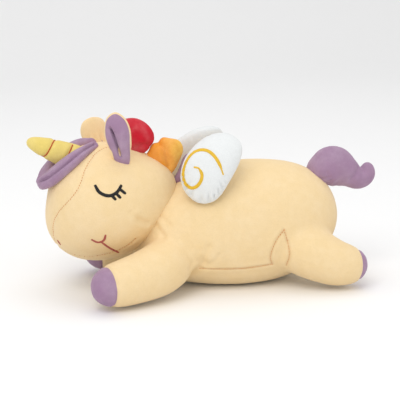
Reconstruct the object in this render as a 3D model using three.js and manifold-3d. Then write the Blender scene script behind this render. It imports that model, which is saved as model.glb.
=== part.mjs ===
// A stuffed unicorn lying on its belly: sewn cream panels over fibre filling, with a soft
// horn, two lined ears, a padded forelock, three mane tufts, two padded wings and a curled tail.
// Millimetres, +Z up, head towards -X, the animal's left side towards -Y.
// Origin: bottom centre of the bounding box. Each stuffed piece is a sewn cover round its own
// filling, and a piece that bends on the toy keeps a clearance to its neighbours all the way.
import * as THREE from "three";
import { mergeVertices } from "three/addons/utils/BufferGeometryUtils.js";
import Module from "manifold-3d";

const wasm = await Module();
wasm.setup();

// ---- Driving dimensions -------------------------------------------------------------------
const CLOTH = 2.2; // short-pile knit with its seam backing
const GAP = 0.3; // between sewn neighbours, and between a cover and its filling
const PLAY = 1.2; // between pieces that move against each other
const SWEEP_STEP = 6; // degrees between the poses that a clearance is cut at

// The belly reaches below the floor here, and is pressed flat on it where it does.
const TORSO = {
  path: [[-86, 0, 72], [-30, 0, 64], [55, 0, 69], [120, 0, 74], [168, 0, 72]],
  wide: [58, 64, 77, 72, 60], // half height
  thick: [54, 64, 70, 66, 58], // half width, side to side
  facing: [0, 1, 0],
};
const BELLY_SEAM_SHARE = 0.34; // the belly panel's share of the way round the section

const HEAD = {
  centre: [-113, 0, 105],
  radius: 67,
  width: 0.98, // side to side, against the radius
  // Rounded swellings: the angle in the side view from +X, how far they swell, how wide.
  lobes: [
    { at: 226, swell: 8, spread: 36 }, // muzzle
    { at: 12, swell: 19, spread: 30 }, // nape
    { at: 172, swell: -4, spread: 22 }, // dip between brow and muzzle
  ],
  // Half width of the panel down the middle of the face, by the same angle.
  facePanel: [
    [5, 5], [60, 7], [90, 16], [112, 35], [133, 47], [150, 48], [172, 41], [196, 26], [222, 8],
  ],
  // Half width of the panel under the chin.
  chinPanel: [[222, 8], [242, 20], [259, 40], [275, 48], [310, 48]],
  stations: 30, // shared by all its panels, so that their seams match
};
const NECK = { pivot: [-30, 0, 66], axis: [0, 1, 0], range: [0, 8] };

// Legs run from inside the body to the hoof; hoof is the length of the hoof piece.
const LEGS = {
  front_leg_left: {
    path: [[-26, -28, 46], [-62, -60, 35], [-104, -81, 29], [-143, -94, 27]],
    wide: [30, 31, 28, 25],
    thick: [34, 33, 29, 26],
    hoof: 23,
    pivot: [-34, -32, 46],
    axis: [0, 0, 1],
    range: [0, 18],
  },
  front_leg_right: {
    path: [[-26, 28, 46], [-64, 48, 34], [-98, 58, 27], [-133, 61, 25]],
    wide: [30, 30, 27, 24],
    thick: [34, 32, 28, 24],
    hoof: 23,
    pivot: [-34, 32, 46],
    axis: [0, 0, -1],
    range: [0, 18],
  },
  hind_leg_left: {
    path: [[84, -28, 58], [116, -46, 44], [150, -60, 30], [189, -58, 25]],
    wide: [38, 36, 29, 25],
    thick: [36, 34, 29, 24],
    hoof: 15,
    pivot: [92, -34, 56],
    axis: [0, 0, -1],
    range: [0, 18],
  },
  hind_leg_right: {
    path: [[84, 28, 58], [114, 42, 42], [146, 52, 29], [180, 50, 24]],
    wide: [38, 35, 28, 24],
    thick: [36, 33, 28, 23],
    hoof: 15,
    pivot: [92, 34, 56],
    axis: [0, 0, 1],
    range: [0, 18],
  },
};

const HORN = {
  path: [[-128, 0, 149], [-156, 0, 160], [-178, 0, 169], [-199, 0, 177.5]],
  wide: [17, 14.8, 11.8, 8],
  thick: [17, 14.8, 11.8, 8],
  facing: [0, 1, 0],
  fullness: 1.3,
  pivot: [-146, 0, 155],
  axis: [0, 1, 0],
  range: [0, 12],
};
// The cord crosses the horn's left side at the share `first`, and again a pitch further out.
// Ease makes it steeper there and flatter behind. Tails run on before and after, in turns.
const HORN_THREAD = { first: 0.385, pitch: 0.282, ease: 0.025, tails: [0.22, 0.4], half: 1 };

// Flat stuffed pieces are given by their outline, in their own plane: [along the edge, upwards].
const EARS = {
  ear_left: {
    root: [-97, -39, 156], up: [-0.16, -0.12, 0.98], facing: [-0.3, -0.95, 0],
    outline: [
      [-7, -6], [-13, 16], [-15, 38], [-9, 55], [1, 60], [10, 54], [15, 40], [14, 18], [7, -6],
    ],
    thick: 5, curl: 4, pivot: [-98, -38, 160], axis: [1, 0, 0], range: [-6, 20],
  },
  ear_right: {
    root: [-111, 39, 152], up: [-0.2, 0.34, 0.92], facing: [-0.2, 0.95, 0],
    outline: [
      [9, -6], [15, 14], [17, 28], [12, 39], [0, 43], [-12, 39], [-16, 27], [-14, 12], [-9, -6],
    ],
    thick: 5, curl: 4, pivot: [-110, 38, 157], axis: [-1, 0, 0], range: [-6, 20],
  },
};
const EAR_RIM = 4; // cream edge left round the coloured lining
const EAR_LINING = 2.6;

const FORELOCK = {
  // One side, from the crown down to the tip in front of the horn; the other side mirrors it.
  side: [[-121, -8, 172], [-139, -21, 166], [-158, -26, 155], [-177, -17, 139], [-187, 6, 128]],
  wide: [6, 10, 12, 13, 12], // half width of the lock
  thick: [5, 7, 8, 8, 8],
  facing: [-0.55, 0.45, 0.75], // its flat faces lean out over that cheek
};

const TUFTS = {
  // angle and root place the foot of the tuft round the head; rise is the way it stands.
  mane_red: {
    colour: "red", angle: 63, root: 60, rise: 77, thick: 10,
    outline: [[-18, 0], [-23, 20], [-15, 37], [1, 43], [18, 38], [28, 26], [25, 12], [16, 0]],
  },
  mane_orange: {
    colour: "orange", angle: 32, root: 63, rise: 44, thick: 10,
    outline: [[-12, 0], [-17, 20], [-12, 39], [1, 49], [12, 45], [19, 30], [19, 0]],
  },
  mane_purple: {
    colour: "lilac", angle: 8, root: 84, rise: 68, thick: 7,
    outline: [[-5, 0], [-4, 14], [-4, 28], [-3, 39], [3, 45], [10, 40], [11, 20], [7, 0]],
  },
};
const TUFT_RANGE = [-14, 14];

const WINGS = {
  wing_left: {
    root: [-3, -50, 138], up: [0.2, 0.4, 0.88], facing: [-0.24, -0.87, 0.5],
    outline: [
      [-24, -26], [-33, -8], [-31, 14], [-16, 40], [4, 56], [20, 58], [38, 42], [40, 26],
      [28, 4], [12, -26], [-8, -36],
    ],
    thick: 17, curl: 9, pivot: [0, -38, 142], axis: [-1, 0, 0], range: [0, 24],
  },
  wing_right: {
    root: [-4, 54, 133], up: [0.2, -0.36, 0.9], facing: [-0.24, 0.87, 0.46],
    outline: [
      [24, -26], [33, -8], [31, 14], [16, 40], [-4, 56], [-20, 58], [-38, 42], [-40, 26],
      [-28, 4], [-12, -26], [8, -36],
    ],
    thick: 17, curl: 9, pivot: [0, 42, 140], axis: [1, 0, 0], range: [0, 24],
  },
};
// The spiral on each wing: where it starts and ends, in the wing's own plane.
const SWIRL = { centre: [-9, 6], outer: 26, inner: 6, turns: 1.15, start: 25 };

const TAIL = {
  path: [
    [130, 0, 114], [147, 0, 125], [164, 0, 129], [180, 0, 122], [193, 0, 118], [203, 0, 123],
    [208, 0, 136],
  ],
  wide: [17, 22, 24, 21, 14, 10, 8], // in the plane of the curl
  thick: [17, 18, 18, 16, 13, 11, 8], // side to side
  facing: [0, 1, 0],
  rings: 16,
  pivot: [142, 0, 114],
  axis: [0, 0, 1],
  range: [-16, 16],
};

// Embroidery lies on the cloth. Points are given in the side view, from the middle of the head.
const STITCH = { half: 1.7, thin: 1.2, proud: 0.9 };
const CORD_ROOM = GAP + 2 * STITCH.proud + PLAY; // what the forelock leaves round the horn
const EYE = {
  lid: [[-17, 31], [-13, 24], [-3, 20], [6, 23], [12, 30]],
  lashes: [[[9.5, 26.5], [16, 21]], [[5, 22.5], [10, 17]], [[0, 20.5], [4.5, 15.5]]],
};
const MOUTH = {
  cheek: [[-22, -31], [-15, -34.5], [-9, -32], [-7, -25]],
  smile: [[-11, -34.5], [-1, -43.5], [10, -52]],
};
const NOSTRIL = { angle: 219, across: 12, size: 3.2 };

const COLOURS = {
  cream: "#f3d9a0",
  lilac: "#a98bb0",
  horn: "#f0d471",
  red: "#d0202c",
  orange: "#f0a93c",
  white: "#eceeed",
  gold: "#d9a521",
  black: "#141414",
  rose: "#b5545a",
  rust: "#b0501c",
  fibre: "#f5f5f0",
};

// ---- Small tools --------------------------------------------------------------------------
const vector = (p) => new THREE.Vector3(...p);
const { degToRad, radToDeg, lerp, clamp } = THREE.MathUtils;

// Sizes given at even stations, read anywhere between them on a smooth curve.
function alongStations(sizes) {
  const last = sizes.length - 1;
  const curve = new THREE.SplineCurve(sizes.map((size, i) => new THREE.Vector2(i / last, size)));
  return (share) => curve.getPoint(clamp(share, 0, 1)).y;
}

// Sizes given at angles, read between them.
function byAngle(table, angle) {
  const next = clamp(table.findIndex(([at]) => at >= angle), 1, table.length - 1);
  const [[a0, s0], [a1, s1]] = [table[next - 1], table[next]];
  const f = clamp((angle - a0) / (a1 - a0), 0, 1);
  return lerp(s0, s1, (1 - Math.cos(Math.PI * f)) / 2);
}

// Even steps round a half circle crowd the rings towards rounded ends.
const roundedStep = (i, count) => (1 - Math.cos((Math.PI * i) / count)) / 2;

// How far a flat facet sinks under a round of this radius cut into this many sides.
const facetDip = (radius, sides) => radius * (1 - Math.cos(Math.PI / sides));

// How far out a coarse skin of this radius goes to clear the true one all over.
const roomInset = (radius, rows, columns) =>
  -(PLAY + facetDip(radius, 2 * rows) + facetDip(radius, columns));

// How deep a coarse filling of this radius lies to clear its cover all over.
const looseInset = (radius, rows, columns) =>
  CLOTH + GAP + facetDip(radius, 2 * rows) + facetDip(radius, columns);

// Two side directions square to a course, one of them leaning towards `facing`.
function sideFrame(along, facing) {
  const out = facing.clone().addScaledVector(along, -along.dot(facing)).normalize();
  return { out, across: new THREE.Vector3().crossVectors(along, out) };
}

// One closed mesh from points and triangles: doubles merged, faces turned outwards.
function closedGeometry(points, faces) {
  const raw = new THREE.BufferGeometry();
  raw.setAttribute("position", new THREE.Float32BufferAttribute(points.flatMap((p) => [...p]), 3));
  raw.setIndex(faces.flat());
  const merged = mergeVertices(raw, 1e-4);
  const index = merged.getIndex().array;
  const at = merged.getAttribute("position");
  const kept = [];
  let volume = 0;
  const [a, b, c] = [new THREE.Vector3(), new THREE.Vector3(), new THREE.Vector3()];
  for (let i = 0; i < index.length; i += 3) {
    const [p, q, r] = index.slice(i, i + 3);
    if (p === q || q === r || r === p) continue;
    kept.push([p, q, r]);
    volume += a.fromBufferAttribute(at, p).dot(
      b.fromBufferAttribute(at, q).cross(c.fromBufferAttribute(at, r)));
  }
  merged.setIndex((volume < 0 ? kept.map(([p, q, r]) => [p, r, q]) : kept).flat());
  return merged;
}

// A grid of points as a closed skin; its first and last rows each come to one point.
function closedSkin(at, rows, columns) {
  const points = [];
  const faces = [];
  for (let i = 0; i <= rows; i++) {
    for (let j = 0; j < columns; j++) points.push(at(i / rows, j / columns));
  }
  const id = (i, j) => i * columns + (j % columns);
  for (let i = 0; i < rows; i++) {
    for (let j = 0; j < columns; j++) {
      faces.push([id(i, j), id(i + 1, j), id(i + 1, j + 1)]);
      faces.push([id(i, j), id(i + 1, j + 1), id(i, j + 1)]);
    }
  }
  return closedGeometry(points, faces);
}

// A patch of cloth: at(s, r, inset) gives its skin for inset 0 and its back for inset CLOTH.
// With `loop` the patch closes on itself along r.
function clothPatch(at, rows, columns, loop = false) {
  const width = loop ? columns : columns + 1;
  const layer = (rows + 1) * width;
  const points = [];
  const faces = [];
  for (const inset of [0, CLOTH]) {
    for (let i = 0; i <= rows; i++) {
      for (let j = 0; j < width; j++) points.push(at(i / rows, j / columns, inset));
    }
  }
  const id = (side, i, j) => side * layer + i * width + (loop ? j % columns : j);
  const quad = (p, q, r, s) => faces.push([p, q, r], [p, r, s]);
  for (let i = 0; i < rows; i++) {
    for (let j = 0; j < columns; j++) {
      quad(id(0, i, j), id(0, i + 1, j), id(0, i + 1, j + 1), id(0, i, j + 1));
      quad(id(1, i, j), id(1, i, j + 1), id(1, i + 1, j + 1), id(1, i + 1, j));
    }
    if (!loop) {
      quad(id(0, i, 0), id(1, i, 0), id(1, i + 1, 0), id(0, i + 1, 0));
      quad(id(0, i, columns), id(0, i + 1, columns), id(1, i + 1, columns), id(1, i, columns));
    }
  }
  for (let j = 0; j < columns; j++) {
    quad(id(0, 0, j), id(0, 0, j + 1), id(1, 0, j + 1), id(1, 0, j));
    quad(id(0, rows, j), id(1, rows, j), id(1, rows, j + 1), id(0, rows, j + 1));
  }
  return closedGeometry(points, faces);
}

function solid(geometry) {
  const vertProperties = new Float32Array(geometry.getAttribute("position").array);
  const triVerts = new Uint32Array(geometry.getIndex().array);
  return new wasm.Manifold(new wasm.Mesh({ numProp: 3, vertProperties, triVerts }));
}

// The pieces of a cut solid as meshes, the largest first.
function piecesOf(shape) {
  return shape.decompose().sort((a, b) => b.volume() - a.volume()).map((piece) => {
    const mesh = piece.getMesh();
    const geometry = new THREE.BufferGeometry();
    geometry.setAttribute("position", new THREE.BufferAttribute(mesh.vertProperties, 3));
    geometry.setIndex(new THREE.BufferAttribute(mesh.triVerts, 1));
    return geometry;
  });
}
const largestPiece = (shape) => piecesOf(shape)[0];

// ---- Stuffed forms ------------------------------------------------------------------------
// A round-ended form whose oval section changes along a bent centre line.
class SoftForm {
  constructor({ path, wide, thick, facing = [0, 0, 1], fullness = 1, rings = 10 }) {
    this.rings = rings;
    this.curve = new THREE.CatmullRomCurve3(path.map(vector), false, "centripetal");
    this.length = this.curve.getLength();
    this.wideAt = alongStations(wide);
    this.thickAt = alongStations(thick);
    this.facing = vector(facing).normalize();
    // How blunt each end is: at 1 it is as round as a ball of that end's size.
    this.power = [wide[0], wide.at(-1)].map((half) => Math.max(2, (fullness * this.length) / half));
  }

  // Share t of the length, angle a round the section, a depth under the skin.
  point(t, a, inset = 0) {
    const wanted = lerp(inset / this.length, 1 - inset / this.length, t);
    const s = clamp(wanted, 0, 1);
    const along = this.curve.getTangentAt(s);
    const { out, across } = sideFrame(along, this.facing);
    const end = 2 * t - 1;
    const swell = Math.sqrt(Math.max(0, 1 - Math.abs(end) ** this.power[end < 0 ? 0 : 1]));
    const p = this.curve.getPointAt(s)
      .addScaledVector(along, (wanted - s) * this.length)
      .addScaledVector(across, (this.wideAt(s) - inset) * swell * Math.cos(a))
      .addScaledVector(out, (this.thickAt(s) - inset) * swell * Math.sin(a));
    p.z = Math.max(p.z, inset); // pressed flat on the floor
    return p;
  }

  skin(inset = 0, rows = this.rings, columns = 12) {
    const at = (i, j) => this.point(roundedStep(i * rows, rows), 2 * Math.PI * j, inset);
    return closedSkin(at, rows, columns);
  }

  // The cloth between two shares of the length.
  sleeve(from, to, rows, columns = 14) {
    const at = (i, j, inset) => this.point(lerp(from, to, i), 2 * Math.PI * j, inset);
    return clothPatch(at, rows, columns, true);
  }
}

// Two flat panels sewn round an outline and stuffed, with a bow along its height.
class Pillow {
  constructor({ root, up, facing, outline, thick, curl = 0 }) {
    this.root = vector(root);
    this.up = vector(up).normalize();
    const { out, across } = sideFrame(this.up, vector(facing));
    Object.assign(this, { out, across, thick, curl });
    const corners = outline.map(([u, v]) => new THREE.Vector3(u, v, 0));
    this.edge = new THREE.CatmullRomCurve3(corners, true, "centripetal");
    this.middle = corners.reduce((sum, p) => sum.add(p), new THREE.Vector3())
      .divideScalar(corners.length);
    this.height = Math.max(...corners.map((p) => Math.abs(p.y - this.middle.y)));
  }

  // The point over [u, v] of the plane, raised off it towards `out`.
  lift(u, v, rise) {
    const bow = this.curl * ((v - this.middle.y) / this.height) ** 2;
    return this.root.clone()
      .addScaledVector(this.across, u)
      .addScaledVector(this.up, v)
      .addScaledVector(this.out, rise - bow);
  }

  // Share s of the way out from the middle, share r round the edge, on side +1 or -1.
  point(s, r, side, inset = 0) {
    const rim = this.edge.getPoint(r).sub(this.middle);
    rim.multiplyScalar(s * (1 - inset / rim.length())).add(this.middle);
    const rise = (this.thick - inset) * (1 - s ** 2.4) ** 0.6;
    return this.lift(rim.x, rim.y, side * rise);
  }

  // How far the face stands off the plane over [u, v].
  faceRise(u, v) {
    const spoke = new THREE.Vector2(u - this.middle.x, v - this.middle.y);
    let reach = Infinity;
    for (let i = 0; i < 120; i++) {
      const rim = this.edge.getPoint(i / 120).sub(this.middle);
      const turn = Math.abs(Math.atan2(rim.x * spoke.y - rim.y * spoke.x, rim.dot(spoke)));
      if (turn < 0.06) reach = Math.min(reach, rim.length());
    }
    const s = Math.min(1, spoke.length() / reach);
    return this.thick * (1 - s ** 2.4) ** 0.6;
  }

  skin(inset = 0, rings = 3, columns = 18) {
    const at = (i, j) => {
      const fold = 2 * i - 1; // from the back's middle, over the edge, to the front's middle
      const s = Math.sin((Math.PI / 2) * (1 - Math.abs(fold)));
      return this.point(s, j, fold < 0 ? -1 : 1, inset);
    };
    return closedSkin(at, 2 * rings, columns);
  }
}

// The head: a ball with rounded swellings, its poles at the two cheeks.
class HeadForm {
  constructor({ centre, radius, width, lobes }) {
    Object.assign(this, { radius, width });
    this.centre = vector(centre);
    this.lobes = lobes.map(({ at, swell, spread }) => ({
      towards: new THREE.Vector3(Math.cos(degToRad(at)), 0, Math.sin(degToRad(at))), swell, spread,
    }));
  }

  reach(direction) {
    const swell = this.lobes.map(
      (lobe) => lobe.swell * Math.exp(-((radToDeg(direction.angleTo(lobe.towards)) / lobe.spread) ** 2)));
    return swell.reduce((sum, value) => sum + value, this.radius);
  }

  // Angle in the side view, angle out towards the left cheek (negative) or the right.
  point(angle, out, inset = 0) {
    const direction = new THREE.Vector3(
      Math.cos(out) * Math.cos(angle), Math.sin(out), Math.cos(out) * Math.sin(angle));
    const p = direction.multiplyScalar(this.reach(direction) - inset);
    p.y *= this.width;
    return p.add(this.centre);
  }

  // The angle out from the middle at which the skin is `half` mm from it.
  outAt(angle, half) {
    return Math.asin(clamp(half / (this.reach(new THREE.Vector3(Math.cos(angle), 0,
      Math.sin(angle))) * this.width), -1, 1));
  }

  // The point of the skin seen at [x, z] in the side view, and the way out of it there.
  onSide(x, z, side, inset = 0) {
    const angle = Math.atan2(z, x);
    let [low, high] = [0, Math.PI / 2];
    for (let i = 0; i < 40; i++) {
      const out = (low + high) / 2;
      const p = this.point(angle, out * side, inset).sub(this.centre);
      if (Math.hypot(p.x, p.z) > Math.hypot(x, z)) low = out;
      else high = out;
    }
    const at = this.point(angle, low * side, inset);
    return { at, out: at.clone().sub(this.centre).normalize() };
  }

  skin(inset = 0, rows = 12, columns = 26) {
    const at = (i, j) => this.point(2 * Math.PI * j, Math.PI * (i - 0.5), inset);
    return closedSkin(at, rows, columns);
  }
}

// ---- Clearances ---------------------------------------------------------------------------
function turned(shape, pivot, axis, degrees) {
  const turn = new THREE.Matrix4().makeTranslation(...pivot)
    .multiply(new THREE.Matrix4().makeRotationAxis(vector(axis).normalize(), degToRad(degrees)))
    .multiply(new THREE.Matrix4().makeTranslation(...pivot.map((value) => -value)));
  return shape.transform(turn.toArray());
}

// The room that a moving piece leaves to `neighbour`: the neighbour seen from the moving piece
// at every pose of its joint.
function roomFor(neighbour, { pivot, axis, range: [low, high] }) {
  const poses = Math.max(1, Math.ceil((high - low) / SWEEP_STEP));
  let room = neighbour;
  for (let i = 0; i <= poses; i++) {
    room = room.add(turned(neighbour, pivot, axis, -lerp(low, high, i / poses)));
  }
  return room;
}

// ---- Assembly -----------------------------------------------------------------------------
const toy = new THREE.Group();
const pieces = new THREE.Group();
toy.add(pieces);

function addPiece(name, geometry, colour, roughness = 0.9) {
  const material = new THREE.MeshStandardMaterial({ color: COLOURS[colour], roughness, metalness: 0 });
  const mesh = new THREE.Mesh(geometry, material);
  mesh.name = name;
  pieces.add(mesh);
}

// A sewn cover and its filling, both kept out of `room`. The filling is a little loose.
function addStuffed(name, form, colour, room) {
  const inner = solid(form.skin(CLOTH));
  addPiece(`${name}_cover`, largestPiece(solid(form.skin()).subtract(inner).subtract(room)), colour);
  addPiece(`${name}_filling`,
    largestPiece(solid(form.skin(CLOTH + 3 * GAP)).subtract(room)), "fibre");
}

// A raised line of satin stitch through points that each know the way out of the cloth.
function stitchLine(points, half, closed = false) {
  const at = new THREE.CatmullRomCurve3(points.map((p) => p.at), closed, "centripetal");
  const outs = new THREE.CatmullRomCurve3(points.map((p) => p.out), closed, "centripetal");
  const steps = Math.max(4, Math.round(at.getLength() / 4));
  const sides = 6;
  const ring = (i, j) => {
    const t = i / steps;
    const { out, across } = sideFrame(at.getTangent(t), outs.getPoint(t));
    const a = (2 * Math.PI * j) / sides;
    return at.getPoint(t)
      .addScaledVector(across, half * Math.cos(a))
      .addScaledVector(out, GAP + STITCH.proud * (1 + Math.sin(a)));
  };
  const centres = [0, steps].map((i) => {
    const p = outs.getPoint(i / steps).normalize().multiplyScalar(GAP + STITCH.proud);
    return p.add(at.getPoint(i / steps));
  });
  return closedSkin((s, r) => {
    const row = Math.round(s * (steps + 2)) - 1;
    if (row < 0) return centres[0].clone();
    if (row > steps) return centres[1].clone();
    return ring(row, Math.round(r * sides) % sides);
  }, steps + 2, sides);
}

// Torso: two side panels sewn along the back, a belly panel, and the filling.
const torso = new SoftForm(TORSO);
const bodyRound = Math.max(...TORSO.wide);
function torsoPanel(fromTurn, toTurn, columns = 7, rows = 18) {
  const seam = GAP / 2;
  return clothPatch((i, j, inset) => {
    const t = lerp(0.004, 0.996, roundedStep(i * rows, rows));
    const end = torso.point(t, 0).distanceTo(torso.point(t, Math.PI)) / 2;
    const trim = seam / Math.max(end, 1) / (2 * Math.PI);
    const turn = lerp(fromTurn + trim, toTurn - trim, j);
    return torso.point(t, 2 * Math.PI * turn, inset);
  }, rows, columns);
}
// Which way the section's angles run, so that the panels are told apart by side.
const up = torso.point(0.5, 0).z > torso.point(0.5, Math.PI).z ? 0 : 0.5;
const bellyHalf = BELLY_SEAM_SHARE / 2;
const towardsLeft = torso.point(0.5, Math.PI / 2).y < 0 ? 1 : -1;
const sideTurns = (sign) => [up, up + sign * (0.5 - bellyHalf)].sort((a, b) => a - b);
const [leftPanel, rightPanel] = [towardsLeft, -towardsLeft].map(sideTurns);
addPiece("body_side_left", torsoPanel(...leftPanel), "cream");
addPiece("body_side_right", torsoPanel(...rightPanel), "cream");
addPiece("belly_panel", torsoPanel(up + 0.5 - bellyHalf, up + 0.5 + bellyHalf, 6), "cream");
addPiece("body_filling", torso.skin(looseInset(bodyRound, 14, 18), 14, 18), "fibre");
const torsoRoom = solid(torso.skin(roomInset(bodyRound, 10, 14), 10, 14));

// Head: side panels, the panel down the face, the panel under the chin, filling, embroidery.
const head = new HeadForm(HEAD);
const neckRoom = roomFor(torsoRoom, NECK);
const faceFrom = HEAD.facePanel[0][0];
const atStation = (degrees) =>
  faceFrom + (360 / HEAD.stations) * Math.round((degrees - faceFrom) * (HEAD.stations / 360));
const noseAt = atStation(HEAD.facePanel.at(-1)[0]);
const chinTo = atStation(HEAD.chinPanel.at(-1)[0]);
const stationsBetween = (from, to) => Math.round(((to - from) * HEAD.stations) / 360);
const panelHalf = (degrees) => {
  if (degrees <= noseAt) return byAngle(HEAD.facePanel, degrees);
  if (degrees <= chinTo) return byAngle(HEAD.chinPanel, degrees);
  return lerp(byAngle(HEAD.chinPanel, chinTo), byAngle(HEAD.facePanel, faceFrom),
    (degrees - chinTo) / (360 + faceFrom - chinTo));
};
function headSide(side, rows = 5, columns = HEAD.stations) {
  return clothPatch((i, j, inset) => {
    const degrees = faceFrom + 360 * j;
    const angle = degToRad(degrees);
    const rim = head.outAt(angle, panelHalf(degrees) + GAP / 2);
    return head.point(angle, side * lerp(Math.PI / 2, rim, i), inset);
  }, rows, columns, true);
}
function headBand(from, to, columns = 6) {
  const rows = stationsBetween(from, to);
  const trim = radToDeg(GAP / 2 / HEAD.radius);
  return clothPatch((i, j, inset) => {
    const degrees = lerp(from + trim, to - trim, i);
    const angle = degToRad(degrees);
    const rim = head.outAt(angle, panelHalf(degrees) - GAP / 2);
    return head.point(angle, lerp(-rim, rim, j), inset);
  }, rows, columns);
}
const cutHead = (geometry) => largestPiece(solid(geometry).subtract(neckRoom));
addPiece("head_side_left", cutHead(headSide(-1)), "cream");
addPiece("head_side_right", cutHead(headSide(1)), "cream");
addPiece("face_panel", cutHead(headBand(faceFrom, noseAt)), "cream");
addPiece("chin_panel", cutHead(headBand(noseAt, chinTo)), "cream");
addPiece("head_filling", cutHead(head.skin(looseInset(HEAD.radius, 10, 20), 10, 20)), "fibre");
const headReach = HEAD.radius + Math.max(...HEAD.lobes.map((lobe) => lobe.swell));
const headRoom = solid(head.skin(roomInset(headReach, 11, 22), 11, 22));

const sewn = (lines) => largestPiece(lines.map(solid).reduce((all, line) => all.add(line)));
for (const [side, word] of [[-1, "left"], [1, "right"]]) {
  const onHead = (points) => points.map(([x, z]) => head.onSide(x, z, side));
  const lid = stitchLine(onHead(EYE.lid), STITCH.half);
  const lashes = EYE.lashes.map((lash) => stitchLine(onHead(lash), STITCH.thin));
  addPiece(`eye_${word}`, sewn([lid, ...lashes]), "black", 0.5);
  const cheek = stitchLine(onHead(MOUTH.cheek), STITCH.thin);
  const smile = stitchLine(onHead(MOUTH.smile), STITCH.thin);
  addPiece(`mouth_${word}`, sewn([cheek, smile]), "rose", 0.6);
  const angle = degToRad(NOSTRIL.angle);
  const nostrilAt = (turn) => {
    const at = head.point(angle + turn / HEAD.radius, side * head.outAt(angle, NOSTRIL.across));
    return { at, out: at.clone().sub(head.centre).normalize() };
  };
  const nostril = [-1, 0, 1].map((share) => nostrilAt(share * NOSTRIL.size));
  addPiece(`nostril_${word}`, stitchLine(nostril, STITCH.half), "rose", 0.6);
}

// Legs: a cream sleeve, a hoof and the filling.
for (const [name, leg] of Object.entries(LEGS)) {
  const form = new SoftForm(leg);
  const room = roomFor(torsoRoom, leg);
  const split = 1 - leg.hoof / form.length;
  const seam = GAP / 2 / form.length;
  const cut = (geometry) => largestPiece(solid(geometry).subtract(room));
  addPiece(`${name}_sleeve`, cut(form.sleeve(0.06, split - seam, 8, 12)), "cream");
  const hoofRows = 5;
  const hoof = clothPatch((i, j, inset) => {
    const t = lerp(split + seam, 1, Math.sin((Math.PI / 2) * i));
    return form.point(t, 2 * Math.PI * j, inset);
  }, hoofRows, 12, true);
  addPiece(name.replace("leg", "hoof"), hoof, "lilac");
  const dip = facetDip(Math.max(...leg.thick), 12) / 2;
  addPiece(`${name}_filling`, cut(form.skin(CLOTH + GAP + dip, 10, 12)), "fibre");
}

// Horn, with the cord that is wound round it.
const horn = new SoftForm(HORN);
addStuffed("horn", horn, "horn", roomFor(headRoom, HORN));
const onLeft = 1.5 * Math.PI; // the section's angle on the horn's left side
const cordTurns = 1 + HORN_THREAD.tails[0] + HORN_THREAD.tails[1];
const cordSteps = Math.round(cordTurns * 12);
const cord = Array.from({ length: cordSteps + 1 }, (_, i) => {
  const turn = (cordTurns * i) / cordSteps - HORN_THREAD.tails[0];
  const a = 2 * Math.PI * turn;
  const t = HORN_THREAD.first + HORN_THREAD.pitch * turn - HORN_THREAD.ease * Math.sin(a);
  const at = horn.point(t, onLeft + a);
  return { at, out: at.clone().sub(horn.curve.getPointAt(t)).normalize() };
});
// Under the horn the cord is sewn in, so it shows as a short start and a long turn.
const [longCord, startCord] = piecesOf(
  solid(stitchLine(cord, HORN_THREAD.half)).subtract(roomFor(headRoom, HORN)));
addPiece("horn_cord", longCord, "rust", 0.5);
addPiece("horn_cord_start", startCord, "rust", 0.5);

// Forelock: a padded lock down both sides of the horn, meeting in front of it.
const locks = [1, -1].map((side) => new SoftForm({
  ...FORELOCK,
  path: FORELOCK.side.map(([x, y, z]) => [x, y * side, z]),
  facing: [FORELOCK.facing[0], FORELOCK.facing[1] * -side, FORELOCK.facing[2]],
}));
const hornRoom = solid(new SoftForm({
  ...HORN,
  wide: HORN.wide.map((half) => half + CORD_ROOM),
  thick: HORN.thick.map((half) => half + CORD_ROOM),
}).skin(0, 8, 12));
// Here the neighbour is the one that moves, so the turns count the other way.
const hornTurns = { ...HORN, range: HORN.range.map((turn) => -turn).reverse() };
const lockRoom = headRoom.add(roomFor(hornRoom, hornTurns));
const lockSolid = (inset) => locks.map((lock) => solid(lock.skin(inset, 9, 10)))
  .reduce((a, b) => a.add(b));
addPiece("forelock_cover",
  largestPiece(lockSolid(0).subtract(lockSolid(CLOTH)).subtract(lockRoom)), "lilac");
addPiece("forelock_filling", largestPiece(lockSolid(CLOTH + GAP).subtract(lockRoom)), "fibre");

// Ears: a cream back with a raised rim, and a coloured lining let into its front.
for (const [name, ear] of Object.entries(EARS)) {
  const shell = new Pillow(ear);
  const shrink = (by) => ear.outline.map(([u, v]) => {
    const rim = new THREE.Vector3(u, v, 0).sub(shell.middle);
    rim.multiplyScalar(1 - by / rim.length()).add(shell.middle);
    return [rim.x, rim.y];
  });
  const front = vector(ear.root).addScaledVector(shell.out, ear.thick * 0.8).toArray();
  const lining = new Pillow({ ...ear, root: front, outline: shrink(EAR_RIM), thick: EAR_LINING });
  const recess = new Pillow({
    ...ear, root: front, outline: shrink(EAR_RIM - GAP), thick: EAR_LINING + GAP,
  });
  const room = roomFor(headRoom, ear);
  addPiece(`${name}_back`,
    largestPiece(solid(shell.skin()).subtract(solid(recess.skin())).subtract(room)), "cream");
  addPiece(`${name}_lining`, largestPiece(solid(lining.skin(0, 3)).subtract(room)), "lilac");
}

// Mane tufts along the seam at the back of the head. They also clear the body as the head nods.
for (const [name, tuft] of Object.entries(TUFTS)) {
  const outwards = (degrees) => new THREE.Vector3(
    Math.cos(degToRad(degrees)), 0, Math.sin(degToRad(degrees)));
  const fromHead = (degrees, reach) =>
    head.centre.clone().addScaledVector(outwards(degrees), reach).toArray();
  const up = outwards(tuft.rise);
  const form = new Pillow({
    ...tuft, root: fromHead(tuft.angle, tuft.root), up: up.toArray(), facing: [0, -1, 0],
  });
  const joint = {
    pivot: fromHead(tuft.angle, HEAD.radius), axis: [up.z, 0, -up.x], range: TUFT_RANGE,
  };
  addStuffed(name, form, tuft.colour, roomFor(headRoom, joint).add(neckRoom));
}

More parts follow.
